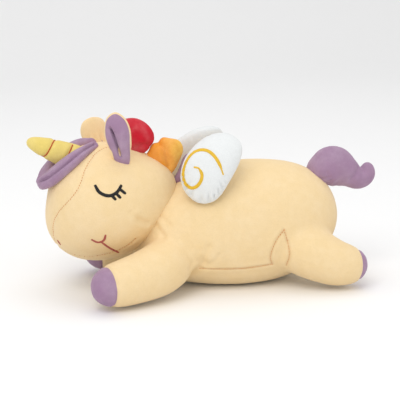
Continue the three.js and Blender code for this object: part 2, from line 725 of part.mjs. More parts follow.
// Wings, each with a spiral of satin stitch on its outer face.
for (const [name, wing] of Object.entries(WINGS)) {
  const form = new Pillow(wing);
  addStuffed(name, form, "white", roomFor(torsoRoom, wing));
  const hand = wing.outline[0][0] < 0 ? 1 : -1;
  const steps = 26;
  const swirl = Array.from({ length: steps + 1 }, (_, i) => {
    const share = i / steps;
    const a = degToRad(SWIRL.start) + 2 * Math.PI * SWIRL.turns * share;
    const reach = lerp(SWIRL.outer, SWIRL.inner, share);
    const [u, v] = [hand * (SWIRL.centre[0] + reach * Math.cos(a)), SWIRL.centre[1] + reach * Math.sin(a)];
    return { at: form.lift(u, v, form.faceRise(u, v)), out: form.out };
  });
  addPiece(`${name}_swirl`, stitchLine(swirl, STITCH.half), "gold", 0.45);
}

// Tail.
const tail = new SoftForm(TAIL);
addStuffed("tail", tail, "lilac", roomFor(torsoRoom, TAIL));

// The toy stands on z = 0 with its bounding box centred over the origin.
const box = new THREE.Box3().setFromObject(pieces, true);
const middle = box.getCenter(new THREE.Vector3());
pieces.position.set(-middle.x, -middle.y, -box.min.z);
toy.updateMatrixWorld(true);

export default toy;
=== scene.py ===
"""The cloth, seams, embroidery and stage of a stuffed unicorn lying on its belly, made round
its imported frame. The tables below are in millimetres in the toy's own frame: nose towards -X,
the animal's left side towards -Y, the floor at 0."""

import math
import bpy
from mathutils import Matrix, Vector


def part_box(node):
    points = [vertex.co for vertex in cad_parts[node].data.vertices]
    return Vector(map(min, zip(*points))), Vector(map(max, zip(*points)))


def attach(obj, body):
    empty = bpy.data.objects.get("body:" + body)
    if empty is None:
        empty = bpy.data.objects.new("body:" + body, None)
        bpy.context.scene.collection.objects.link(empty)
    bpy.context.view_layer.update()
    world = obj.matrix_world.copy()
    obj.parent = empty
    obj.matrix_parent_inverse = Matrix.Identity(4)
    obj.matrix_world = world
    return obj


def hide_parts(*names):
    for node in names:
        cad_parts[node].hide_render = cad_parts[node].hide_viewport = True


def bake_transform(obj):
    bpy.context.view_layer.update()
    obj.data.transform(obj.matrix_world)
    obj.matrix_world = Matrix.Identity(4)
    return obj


bl_info = {
    "name": "Stuffed unicorn",
    "version": (1, 0, 0),
    "blender": (4, 5, 0),
    "location": "View3D > Sidebar > Unicorn",
    "description": "Makes the plush skins, seams, embroidery and stage of a stuffed unicorn",
    "category": "Add Mesh",
}

import bmesh
import bpy
import numpy as np
from bpy.props import FloatProperty, FloatVectorProperty, IntProperty, PointerProperty
from mathutils import Vector
from mathutils.bvhtree import BVHTree
from mathutils.kdtree import KDTree

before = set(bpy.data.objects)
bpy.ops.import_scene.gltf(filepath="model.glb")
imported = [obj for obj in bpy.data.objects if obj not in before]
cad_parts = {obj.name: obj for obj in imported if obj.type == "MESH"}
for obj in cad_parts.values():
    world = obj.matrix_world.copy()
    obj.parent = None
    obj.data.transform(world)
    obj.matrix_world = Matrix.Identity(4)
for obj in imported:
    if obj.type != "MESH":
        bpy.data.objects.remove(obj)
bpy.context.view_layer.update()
MM = 0.001

# ---- The toy's sizes, in millimetres ---------------------------------------------------------
TORSO = dict(
    path=[(-86, 0, 72), (-30, 0, 64), (55, 0, 69), (120, 0, 74), (168, 0, 72)],
    wide=[58, 64, 77, 72, 60],
    thick=[54, 64, 70, 66, 58],
    facing=(0, 1, 0),
)
TORSO_MIDDLE = 41  # along X, halfway between its two ends
BELLY_TURN = 61  # degrees from straight down to the seam of the belly panel

HEAD = dict(centre=(-113, 0, 105), radius=67, width=0.98)
HEAD_LOBES = [(226, 8, 36), (12, 19, 30), (172, -4, 22)]  # angle, swell, spread
# Half width of a panel, by the angle in the side view from straight back.
FACE_PANEL = [
    (5, 5), (60, 7), (90, 16), (112, 35), (133, 47), (150, 48), (172, 41), (196, 26), (222, 8)]
CHIN_PANEL = [(222, 8), (231, 18), (242, 27), (255, 36), (268, 42), (310, 48)]

LEGS = {
    "front_leg_left": dict(
        path=[(-26, -28, 46), (-62, -60, 35), (-104, -81, 29), (-143, -94, 27)],
        wide=[30, 31, 28, 25], thick=[34, 33, 29, 26], hoof=23),
    "front_leg_right": dict(
        path=[(-26, 28, 46), (-64, 48, 34), (-98, 58, 27), (-133, 61, 25)],
        wide=[30, 30, 27, 24], thick=[34, 32, 28, 24], hoof=23),
    "hind_leg_left": dict(
        path=[(84, -28, 58), (116, -46, 44), (150, -60, 30), (189, -58, 25)],
        wide=[38, 36, 29, 25], thick=[36, 34, 29, 24], hoof=15),
    "hind_leg_right": dict(
        path=[(84, 28, 58), (114, 42, 42), (146, 52, 29), (180, 50, 24)],
        wide=[38, 35, 28, 24], thick=[36, 33, 28, 23], hoof=15),
}
LEG_BEND = (0.2, 0.58)  # shares of a leg's length between which it turns from body to leg

HORN = dict(
    path=[(-128, 0, 149), (-156, 0, 160), (-178, 0, 169), (-199, 0, 177.5)],
    wide=[17, 14.8, 11.8, 7.2], thick=[17, 14.8, 11.8, 7.2], facing=(0, 1, 0), fullness=0.8,
)
HORN_CORD = dict(first=0.385, pitch=0.282, ease=0.025, tails=(0.22, 0.4))

EARS = {
    "ear_left": dict(
        root=(-97, -39, 156), up=(-0.16, -0.12, 0.98), facing=(-0.3, -0.95, 0),
        outline=[(-5, -6), (-11, 14), (-14.5, 36), (-9, 54), (1, 59), (10, 53), (15, 40),
                 (13, 18), (6, -6)],
        thick=5, curl=4, slit=[(0.5, 7), (-1, 18), (-3, 32), (-6, 45)]),
    "ear_right": dict(
        root=(-111, 39, 152), up=(-0.2, 0.34, 0.92), facing=(-0.2, 0.95, 0),
        outline=[(9, -6), (15, 14), (17, 28), (12, 39), (0, 43), (-12, 39), (-16, 27), (-14, 12),
                 (-9, -6)],
        thick=5, curl=4, slit=[(1, 7), (1.5, 20), (2, 34)]),
}
EAR_RIM = 1.5

FORELOCK = dict(
    side=[(-121, -8, 172), (-139, -21, 166), (-157, -26, 154), (-174, -17, 138), (-183, 6, 127)],
    wide=[4, 9, 11.5, 12.5, 12], thick=[4, 6, 7, 7.5, 7.5], facing=(-0.55, 0.45, 0.75),
)

TUFTS = {
    "mane_red": dict(
        angle=63, root=60, rise=77, thick=10,
        outline=[(-18, 0), (-23, 20), (-15, 37), (1, 43), (18, 38), (28, 26), (25, 12), (16, 0)]),
    "mane_orange": dict(
        angle=32, root=63, rise=44, thick=10,
        outline=[(-12, 0), (-17, 20), (-12, 39), (1, 49), (12, 45), (19, 30), (19, 0)]),
    "mane_purple": dict(
        angle=8, root=84, rise=68, thick=7,
        outline=[(-5, 0), (-4, 14), (-4, 28), (-3, 39), (3, 45), (10, 40), (11, 20), (7, 0)]),
}

WINGS = {
    "wing_left": dict(
        root=(-3, -50, 138), up=(0.2, 0.4, 0.88), facing=(-0.24, -0.87, 0.5),
        outline=[(-24, -20), (-31, -4), (-29, 17), (-16, 40), (2, 54), (20, 56), (36, 44),
                 (38, 28), (29, 0), (13, -26), (-6, -31)],
        thick=17, curl=9),
    "wing_right": dict(
        root=(-4, 54, 133), up=(0.2, -0.36, 0.9), facing=(-0.24, 0.87, 0.46),
        outline=[(24, -20), (31, -4), (29, 17), (16, 40), (-2, 54), (-20, 56), (-36, 44),
                 (-38, 28), (-29, 0), (-13, -26), (6, -31)],
        thick=17, curl=9),
}
PLEATS = 30  # gathers all the way round a wing's edge
# The spiral of satin stitch, from its outer end to the middle, in the wing's own plane.
SWIRL = [(19, 2), (14, 12), (7, 21), (-1, 26.5), (-9, 27.5), (-16, 25), (-22, 18), (-25.5, 8),
         (-26, -2), (-22.5, -11), (-16, -15.5), (-9.5, -14), (-5, -8), (-4.5, -1), (-9, 5.5),
         (-14, 6.5)]

TAIL = dict(
    path=[(130, 0, 115), (147, 0, 127), (162, 0, 132), (179, 0, 123), (193, 0, 115),
          (203, 0, 119), (206.5, 0, 136)],
    wide=[12, 19.5, 25.5, 21.5, 14.5, 12, 8.5], thick=[13, 18, 18, 16, 13, 11, 8], facing=(0, 1, 0),
)

# Drawn in the side view as (x, z) and laid on the cloth.
EYE_LID = [(-130, 136), (-126, 129), (-116, 125), (-107, 128), (-101, 135)]
EYE_LASHES = [
    [(-103.5, 131.5), (-97, 126)], [(-108, 127.5), (-103, 122)], [(-113, 125.5), (-108.5, 120.5)]]
CHEEK_LINE = [(-135, 74), (-128, 70.5), (-122, 73), (-120, 80)]
SMILE = [(-124, 70.5), (-114, 61.5), (-103, 53)]
CHEEK_DART = [(-84, 96.5), (-78, 92), (-71, 88)]
CHEEK_FOLD = [(-86, 100), (-92, 104)]
ORANGE_CREASE = [(-49, 169), (-43.5, 164), (-40, 154), (-38, 143)]
RED_FOLD = [(-76, 166), (-68, 169), (-60, 168)]
TAIL_CREASE = [(190, 131), (186, 124), (180, 118)]
TAIL_GATHERS = [[(136, 118), (145, 121), (152, 123)], [(138, 110), (147, 113), (154, 117)]]
NOSTRIL = dict(angles=(214.5, 219.5), across=23.0, half=1.9)
THIGH_DART = [
    [(84, 75), (76.5, 66), (71, 54), (69.5, 42), (73, 33)],
    [(84, 75), (88, 63), (90, 48), (88.5, 32)],
]
ARMPIT_FOLDS = [
    ([(-27, 18), (-19, 27), (-12, 35), (-8, 41)], 3.2, 4.0),
    ([(-14, 42), (-6, 52), (-3, 60)], 1.6, 3.2),
    ([(-25, 36), (-17, 47), (-13, 56)], 1.1, 3.0),
    ([(-3, 36), (5, 43), (9, 50)], 1.0, 2.6),
]
NECK_FOLDS = [
    ([(-66, 88), (-58, 80), (-52, 71)], 1.6, 3.0),
    ([(-62, 97), (-53, 91), (-46, 83)], 1.2, 3.0),
]
HOOF_CUT_REACH, HOOF_TUCK_REACH = 48, 42  # from the middle of the seam, so one leg is cut alone
BELLY_SEAM_ENDS = {-1: (-12, 71), 1: (-12, 74)}  # along X, on the left and the right side
# Name, place from the middle of the toy in metres, width in metres, watts.
LIGHTS = [("key light", (-0.8, -1.2, 1.6), 1.3, 15), ("fill light", (1.5, -1.2, 0.9), 1.8, 3.5),
          ("top light", (0.1, 0.4, 1.9), 1.4, 7)]
AIR_LIGHT = 0.74
CAMERA = dict(turned=(-12, 14), aim=(0, 0, 98.88), away=1.5, lens=115.4)  # degrees, mm, m, mm


# ---- What a user would change ----------------------------------------------------------------
def colour_prop(name, description, value):
    return FloatVectorProperty(
        name=name, description=description, subtype="COLOR", size=4, min=0, max=1,
        default=(*value, 1))


class UnicornColours(bpy.types.PropertyGroup):
    cream: colour_prop("Cream", "Body, head and leg cloth", (0.87, 0.665, 0.38))
    lilac: colour_prop("Lilac", "Hooves, ears, forelock, tail", (0.365, 0.225, 0.345))
    yellow: colour_prop("Yellow", "Horn cloth", (0.80, 0.63, 0.18))
    red: colour_prop("Red", "First mane tuft", (0.60, 0.012, 0.03))
    # Orange and amber paint light and shade on the second tuft: orange is painted shade in its
    # folds at the front, amber is painted light on its lit back edge.
    orange: colour_prop("Orange", "Second mane tuft, in its folds", (0.86, 0.33, 0.035))
    amber: colour_prop("Amber", "Second mane tuft, where it is brushed", (0.95, 0.62, 0.14))
    white: colour_prop("White", "Wing cloth", (0.78, 0.80, 0.80))
    gold: colour_prop("Gold", "Thread of the wing spirals", (0.82, 0.50, 0.03))
    black: colour_prop("Black", "Thread of the eyes", (0.004, 0.004, 0.005))
    rose: colour_prop("Rose", "Thread of the smile and nostrils", (0.44, 0.10, 0.075))
    rust: colour_prop("Rust", "Cord round the horn", (0.52, 0.07, 0.008))
    seam: colour_prop("Seam thread", "Thread that shows in the seams", (0.64, 0.24, 0.07))
    floor: colour_prop("Floor", "Floor and backdrop", (0.93, 0.93, 0.93))


class UnicornSizes(bpy.types.PropertyGroup):
    voxel: FloatProperty(
        name="Cloth grain", description="Edge of the cloth mesh before it is inflated",
        default=3.4 * MM, min=MM, unit="LENGTH")
    pressure: FloatProperty(
        name="Stuffing pressure", description="How hard the filling pushes on the cloth",
        default=4.0, min=0)
    frames: IntProperty(
        name="Inflating steps", description="How long the filling pushes", default=20, min=1)
    groove: FloatProperty(
        name="Seam depth", description="How deep a sewn seam sits in the cloth",
        default=1.3 * MM, min=0, unit="LENGTH")
    satin: FloatProperty(
        name="Satin stitch", description="From one thread of an embroidered line to the next",
        default=0.62 * MM, min=0.2 * MM, unit="LENGTH")
    running: FloatProperty(
        name="Running stitch", description="From one stitch of a seam to the next",
        default=3.1 * MM, min=MM, unit="LENGTH")


# ---- Lines and forms -------------------------------------------------------------------------
def unit(v):
    v = np.asarray(v, float)
    return v / np.maximum(np.linalg.norm(v, axis=-1, keepdims=True), 1e-12)


def toy_shift():
    """From the toy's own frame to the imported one, in millimetres."""
    belly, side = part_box("belly_panel"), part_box("body_side_left")
    return np.array([
        (side[0].x + side[1].x) / 2 / MM - TORSO_MIDDLE, (belly[0].y + belly[1].y) / 2 / MM, 0])


SHIFT = toy_shift()


def placed(points):
    """Points of the toy's own frame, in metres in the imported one."""
    return (np.asarray(points, float) + SHIFT) * MM


class Course:
    """A smooth line through points, read by shares of its length."""

    def __init__(self, points, closed=False, samples=60):
        p = np.array(points, float)
        if closed:
            p = np.vstack([p[-1], p, p[0], p[1]])
        else:
            p = np.vstack([2 * p[0] - p[1], p, 2 * p[-1] - p[-2]])
        u = np.linspace(0, 1, samples, endpoint=False)[:, None]
        line = []
        for a, b, c, d in zip(p, p[1:], p[2:], p[3:]):
            g = [max(np.linalg.norm(v) ** 0.5, 1e-4) for v in (b - a, c - b, d - c)]
            m1 = ((b - a) / g[0] - (c - a) / (g[0] + g[1]) + (c - b) / g[1]) * g[1]
            m2 = ((c - b) / g[1] - (d - b) / (g[1] + g[2]) + (d - c) / g[2]) * g[1]
            line.append(
                b * (2 * u**3 - 3 * u**2 + 1) + m1 * (u**3 - 2 * u**2 + u)
                + c * (3 * u**2 - 2 * u**3) + m2 * (u**3 - u**2))
        self.line = np.vstack([*line, p[-2][None]])
        steps = np.linalg.norm(np.diff(self.line, axis=0), axis=1)
        self.gone = np.concatenate([[0], np.cumsum(steps)])
        self.length = self.gone[-1]

    def at(self, share):
        where = np.clip(share, 0, 1) * self.length
        return np.stack([np.interp(where, self.gone, axis) for axis in self.line.T], -1)

    def along(self, share):
        share = np.clip(share, 0.002, 0.998)
        return unit(self.at(share + 0.002) - self.at(share - 0.002))

    def dense(self, step):
        return self.at(np.linspace(0, 1, max(2, int(self.length / step) + 1)))


def steady(sizes, share):
    """Sizes given at even stations, read between them on a smooth curve."""
    ends = np.array([sizes[0], *sizes, sizes[-1]], float)
    where = np.clip(share, 0, 1) * (len(sizes) - 1)
    i = np.minimum(where.astype(int), len(sizes) - 2)
    f = where - i
    a, b, c, d = (ends[i + k] for k in range(4))
    return 0.5 * (2 * b + (c - a) * f + (2 * a - 5 * b + 4 * c - d) * f**2
                  + (3 * b - a - 3 * c + d) * f**3)


def by_angle(table, angle):
    """Sizes given at angles, read on a smooth line between them."""
    line = Course(table).line
    return np.interp(angle, line[:, 0], line[:, 1])


def side_frame(along, facing):
    out = unit(facing - along * (along @ facing)[..., None])
    return out, np.cross(along, out)


def closed_skin(grid):
    """A grid of points as one closed mesh; its first and last rows each meet in one point."""
    rows, columns = grid.shape[:2]
    points = np.vstack([grid[:1, 0], grid[1:-1].reshape(-1, 3), grid[-1:, 0]])
    last = len(points) - 1

    def index(i, j):
        return 0 if i == 0 else last if i == rows - 1 else 1 + (i - 1) * columns + j % columns

    faces = []
    for i in range(rows - 1):
        for j in range(columns):
            corners = [index(i, j), index(i + 1, j), index(i + 1, j + 1), index(i, j + 1)]
            faces.append(list(dict.fromkeys(corners)))
    return points, faces


class SoftForm:
    """A round-ended form whose oval section changes along a bent centre line."""

    def __init__(self, path, wide, thick, facing=(0, 0, 1), fullness=1, **_):
        self.course = Course(path)
        self.wide, self.thick = wide, thick
        self.facing = unit(facing)
        self.power = [max(2, fullness * self.course.length / half) for half in (wide[0], wide[-1])]

    def point(self, t, a, inset=0):
        t, a = np.broadcast_arrays(np.asarray(t, float), np.asarray(a, float))
        length = self.course.length
        wanted = inset / length + t * (1 - 2 * inset / length)
        s = np.clip(wanted, 0, 1)
        along = self.course.along(s)
        out, across = side_frame(along, self.facing)
        end = 2 * t - 1
        power = np.where(end < 0, *self.power)
        swell = np.sqrt(np.maximum(0, 1 - np.abs(end) ** power))
        p = (self.course.at(s) + along * ((wanted - s) * length)[..., None]
             + across * ((steady(self.wide, s) - inset) * swell * np.cos(a))[..., None]
             + out * ((steady(self.thick, s) - inset) * swell * np.sin(a))[..., None])
        p[..., 2] = np.maximum(p[..., 2], inset)
        return p

    def skin(self, rows, columns, inset=0):
        t = (1 - np.cos(np.pi * np.arange(rows + 1) / rows)) / 2
        a = 2 * np.pi * np.arange(columns) / columns
        return closed_skin(self.point(t[:, None], a[None], inset))

    def depth(self, points):
        """How far points lie outside the form, negative inside it."""
        shares = np.linspace(0, 1, 48)
        middle = self.course.at(shares)
        end = 2 * shares - 1
        swell = np.sqrt(np.maximum(0, 1 - np.abs(end) ** np.where(end < 0, *self.power)))
        radius = (steady(self.wide, shares) + steady(self.thick, shares)) / 2 * swell
        gaps = np.linalg.norm(points[:, None] - middle[None], axis=2) - radius[None]
        return gaps.min(1)


class Pillow:
    """Two flat panels sewn round an outline and stuffed, with a bow along its height."""

    def __init__(self, root, up, facing, outline, thick, curl=0, **_):
        self.root, self.up = np.array(root, float), unit(up)
        self.out, self.across = (v[0] for v in side_frame(self.up[None], unit(facing)))
        self.thick, self.curl = thick, curl
        corners = np.array(outline, float)
        self.edge = Course(corners, closed=True)
        self.middle = corners.mean(0)
        self.height = np.abs(corners[:, 1] - self.middle[1]).max()

    def lift(self, u, v, rise):
        bow = self.curl * ((v - self.middle[1]) / self.height) ** 2
        return (self.root + self.across * u[..., None] + self.up * v[..., None]
                + self.out * (rise - bow)[..., None])

    def point(self, s, r, side, inset=0):
        rim = self.edge.at(r) - self.middle
        rim = rim * (s * (1 - inset / np.linalg.norm(rim, axis=-1)))[..., None] + self.middle
        rise = (self.thick - inset) * (1 - np.minimum(s, 1) ** 2.4) ** 0.6
        return self.lift(rim[..., 0], rim[..., 1], side * rise)

    def skin(self, rings, columns, inset=0):
        fold = np.linspace(-1, 1, 2 * rings + 1)
        s = np.sin((np.pi / 2) * (1 - np.abs(fold)))
        r = np.arange(columns) / columns
        side = np.where(fold < 0, -1, 1)
        return closed_skin(self.point(s[:, None], r[None], side[:, None], inset))

    def flat(self, points):
        """Where points lie over the pillow's plane: across, upwards and out of it."""
        from_root = points - self.root
        return from_root @ self.across, from_root @ self.up, from_root @ self.out


def head_reach(directions):
    reach = np.full(len(directions), float(HEAD["radius"]))
    for at, swell, spread in HEAD_LOBES:
        a = math.radians(at)
        cosine = directions @ np.array([math.cos(a), 0, math.sin(a)])
        reach += swell * np.exp(-((np.degrees(np.arccos(np.clip(cosine, -1, 1))) / spread) ** 2))
    return reach


def on_head(angle, half, inset=0):
    """The point of the head at an angle in the side view, `half` to one side of its middle."""
    a = np.radians(angle)
    middle = np.stack([np.cos(a), 0 * a, np.sin(a)], -1)
    out = np.arcsin(np.clip(half / (head_reach(middle) * HEAD["width"]), -1, 1))
    direction = np.stack([np.cos(out) * np.cos(a), np.sin(out), np.cos(out) * np.sin(a)], -1)
    p = direction * (head_reach(direction) - inset)[:, None]
    p[:, 1] *= HEAD["width"]
    return p + HEAD["centre"]


# ---- Meshes ----------------------------------------------------------------------------------
def new_mesh(name, shells, in_metres=False):
    """One object from closed skins, each with its faces turned outwards."""
    points, faces = [], []
    for shell_points, shell_faces in shells:
        base = sum(map(len, points))
        points.append(shell_points if in_metres else placed(shell_points))
        faces += [[base + k for k in face] for face in shell_faces]
    mesh = bpy.data.meshes.new(name)
    mesh.from_pydata(np.vstack(points).tolist(), [], faces)
    bm = bmesh.new()
    bm.from_mesh(mesh)
    bmesh.ops.recalc_face_normals(bm, faces=bm.faces)
    bm.to_mesh(mesh)
    bm.free()
    piece = bpy.data.objects.new(name, mesh)
    bpy.context.scene.collection.objects.link(piece)
    return smooth_shaded(piece)


def smooth_shaded(piece):
    piece.data.polygons.foreach_set("use_smooth", np.ones(len(piece.data.polygons), bool))
    return piece


def kept(piece):
    """Makes the modifiers' result the piece's own mesh."""
    graph = bpy.context.evaluated_depsgraph_get()
    mesh = bpy.data.meshes.new_from_object(piece.evaluated_get(graph))
    piece.modifiers.clear()
    piece.data = mesh
    return smooth_shaded(piece)


def modified(piece, kind, **settings):
    modifier = piece.modifiers.new(kind.title(), kind)
    for name, value in settings.items():
        setattr(modifier, name, value)
    return kept(piece)


def remeshed(piece, voxel):
    return modified(piece, "REMESH", mode="VOXEL", voxel_size=voxel)


def relaxed(piece, rounds, factor=0.5):
    return modified(piece, "SMOOTH", factor=factor, iterations=rounds)


def finer(piece, levels=1):
    return modified(piece, "SUBSURF", levels=levels, render_levels=levels)


def spots(piece):
    flat = np.empty(len(piece.data.vertices) * 3)
    piece.data.vertices.foreach_get("co", flat)
    return flat.reshape(-1, 3)


def ways_out(piece):
    flat = np.empty(len(piece.data.vertices) * 3)
    piece.data.vertex_normals.foreach_get("vector", flat)
    return flat.reshape(-1, 3)


def move_to(piece, points):
    piece.data.vertices.foreach_set("co", np.asarray(points).ravel())
    piece.data.update()
    return piece


def distance_to(points, lines):
    """From each point to the nearest of the lines' points, all in metres."""
    targets = np.vstack(lines)
    tree = KDTree(len(targets))
    for i, target in enumerate(targets):
        tree.insert(target, i)
    tree.balance()
    return np.array([tree.find(p)[2] for p in points])


def stuffed(piece, cap, held=None):
    """The cloth pushed out by its filling, no point further than `cap`; `held` points stay."""
    scene = bpy.context.scene
    sizes = scene.unicorn_sizes
    before = spots(piece)
    cloth = piece.modifiers.new("Cloth", "CLOTH")
    cloth.settings.use_pressure = True
    cloth.settings.uniform_pressure_force = sizes.pressure
    cloth.settings.quality = 4
    cloth.settings.mass = 0.3
    cloth.settings.tension_stiffness = cloth.settings.compression_stiffness = 12
    cloth.settings.bending_stiffness = 0.4
    cloth.settings.effector_weights.gravity = 0
    cloth.collision_settings.use_collision = False
    if held is not None:
        group = piece.vertex_groups.new(name="held")
        for i, weight in enumerate(held):
            if weight > 0.01:
                group.add([i], float(min(1, weight)), "REPLACE")
        cloth.settings.vertex_group_mass = "held"
    cloth.point_cache.frame_start, cloth.point_cache.frame_end = 1, sizes.frames
    for step in range(1, sizes.frames + 1):
        scene.frame_set(step)
    kept(piece)
    piece.vertex_groups.clear()
    scene.frame_set(1)
    moved = spots(piece) - before
    if not np.isfinite(moved).all():
        raise RuntimeError(f"the cloth of {piece.name} came apart")
    far = np.linalg.norm(moved, axis=1, keepdims=True)
    return move_to(piece, before + moved * np.minimum(1, cap / np.maximum(far, 1e-9)))


def pressed(piece, lines, depth, width, swell=0.25):
    """Draws the cloth in along lines, in metres, and lets it stand a little proud beside them."""
    points = spots(piece)
    away = distance_to(points, lines)
    dip = np.exp(-((away / width) ** 2))
    bank = np.exp(-(((away - 2.4 * width) / (1.6 * width)) ** 2))
    return move_to(piece, points + ways_out(piece) * (depth * (swell * bank - dip))[:, None])


def rested(piece):
    """Pressed flat where it lies on the floor."""
    points = spots(piece)
    points[:, 2] = np.maximum(points[:, 2], 0.2 * MM)
    return move_to(piece, points)


def laid_on(piece, points, ways):
    """Points sent along `ways` until they meet the piece: the places and the ways out there."""
    tree = BVHTree.FromPolygons(
        spots(piece).tolist(), [tuple(p.vertices) for p in piece.data.polygons])
    places, outs = [], []
    for point, way in zip(points, ways):
        hit, normal, _, _ = tree.ray_cast(Vector(point), Vector(way))
        if hit is None:
            hit, normal, _, _ = tree.find_nearest(Vector(point))
        places.append(hit)
        outs.append(normal)
    return np.array(places), unit(np.array(outs))


def drawn_on(piece, line, side, step=1.0):
    """A line of the side view, laid on the cloth of the side -1 (left) or 1 (right)."""
    dense = Course(line).dense(step)
    far = np.stack([dense[:, 0], np.full(len(dense), 300.0 * side), dense[:, 1]], -1)
    return laid_on(piece, placed(far), np.tile([0, -side, 0], (len(dense), 1)))


def cap_over(bm, before):
    """Closes the open edges that `before` doesn't hold, with a fan to their middle."""
    open_edges = [e for e in bm.edges if e.is_boundary]
    loops = []
    waiting = dict.fromkeys(open_edges)  # in order, so each run gives the same mesh
    while waiting:
        edge = waiting.popitem()[0]
        loop, ends = [edge], list(edge.verts)
        while ends:
            for link in ends.pop().link_edges:
                if link in waiting:
                    del waiting[link]
                    loop.append(link)
                    ends += list(link.verts)
        loops.append(loop)
    for loop in loops:
        around = dict.fromkeys(v for e in loop for v in e.verts)
        middle = bm.verts.new(sum((v.co for v in around), Vector()) / len(around))
        for edge in loop:
            face = bm.faces.new([*reversed(edge_order(edge)), middle])
            face.smooth = True
            face[before] = 1


def edge_order(edge):
    """An open edge's two points in the order that its one face has them."""
    loop = edge.link_loops[0]
    return [loop.vert, loop.link_loop_next.vert]


def part_of(skin, labels, wanted, name, core=None):
    """The faces of the skin that carry a label, closed behind, with the skin's own shading."""
    normals = ways_out(skin)
    bm = bmesh.new()
    bm.from_mesh(skin.data)
    bm.faces.ensure_lookup_table()
    own = bm.verts.layers.int.new("own")
    for i, vert in enumerate(bm.verts):
        vert[own] = i + 1
    inner = bm.faces.layers.int.new("inner")
    bmesh.ops.delete(
        bm, geom=[f for f in bm.faces if labels[f.index] != wanted], context="FACES")
    cap_over(bm, inner)
    if core is not None:
        core_points, core_faces = core
        verts = [bm.verts.new(p) for p in placed(core_points)]
        new = [bm.faces.new([verts[k] for k in face]) for face in core_faces]
        bmesh.ops.recalc_face_normals(bm, faces=new)
        for face in new:
            face.smooth = True
            face[inner] = 1
    mesh = bpy.data.meshes.new(name)
    bm.verts.index_update()
    source = [v[own] for v in bm.verts]
    hidden = [f[inner] for f in bm.faces]
    bm.verts.layers.int.remove(own)
    bm.faces.layers.int.remove(bm.faces.layers.int["inner"])
    bm.to_mesh(mesh)
    bm.free()
    mesh.update()
    shading = [Vector(n.vector) for n in mesh.corner_normals]
    for polygon in mesh.polygons:
        if hidden[polygon.index]:
            continue
        for corner in polygon.loop_indices:
            i = source[mesh.loops[corner].vertex_index]
            if i:
                shading[corner] = normals[i - 1]
    mesh.normals_split_custom_set([tuple(n) for n in shading])
    piece = bpy.data.objects.new(name, mesh)
    bpy.context.scene.collection.objects.link(piece)
    return piece


# ---- Finishes --------------------------------------------------------------------------------
class Wire:
    """A socket of a shader that sums can be written with."""

    def __init__(self, tree, socket=None):
        self.tree, self.socket = tree, socket

    def node(self, kind, settings=None, inputs=None, out=0):
        made = self.tree.nodes.new(kind)
        for name, value in (settings or {}).items():
            if name == "stops":
                ramp = made.color_ramp
                while len(ramp.elements) < len(value):
                    ramp.elements.new(0.5)
                for element, (position, colour) in zip(ramp.elements, value):
                    element.position, element.color = position, colour
            else:
                setattr(made, name, value)
        for name, value in (inputs or {}).items():
            if isinstance(value, Wire):
                self.tree.links.new(value.socket, made.inputs[name])
            else:
                made.inputs[name].default_value = value
        return Wire(self.tree, made.outputs[out]) if len(made.outputs) else None

    def sum(self, operation, a, b):
        return self.node("ShaderNodeMath", {"operation": operation}, {0: a, 1: b})

    def __add__(self, other):
        return self.sum("ADD", self, other)

    def __radd__(self, other):
        return self.sum("ADD", other, self)

    def __sub__(self, other):
        return self.sum("SUBTRACT", self, other)

    def __rsub__(self, other):
        return self.sum("SUBTRACT", other, self)

    def __mul__(self, other):
        return self.sum("MULTIPLY", self, other)

    def __rmul__(self, other):
        return self.sum("MULTIPLY", other, self)

    def ramped(self, low, high):
        """0 below `low`, 1 above `high`, eased between."""
        return self.node("ShaderNodeMapRange", {"interpolation_type": "SMOOTHSTEP"},
                         {"Value": self, "From Min": low, "From Max": high})

    def mixed(self, share, a, b):
        return self.node("ShaderNodeMix", {"data_type": "RGBA"}, {0: share, 6: a, 7: b}, out=2)


def shade(colour, by):
    """A colour made darker (below 1) or lighter (above 1)."""
    return tuple(min(1, c * by) for c in colour[:3]) + (1,)


def toward(colour, other, share):
    return tuple(a + (b - a) * share for a, b in zip(colour[:3], other[:3])) + (1,)


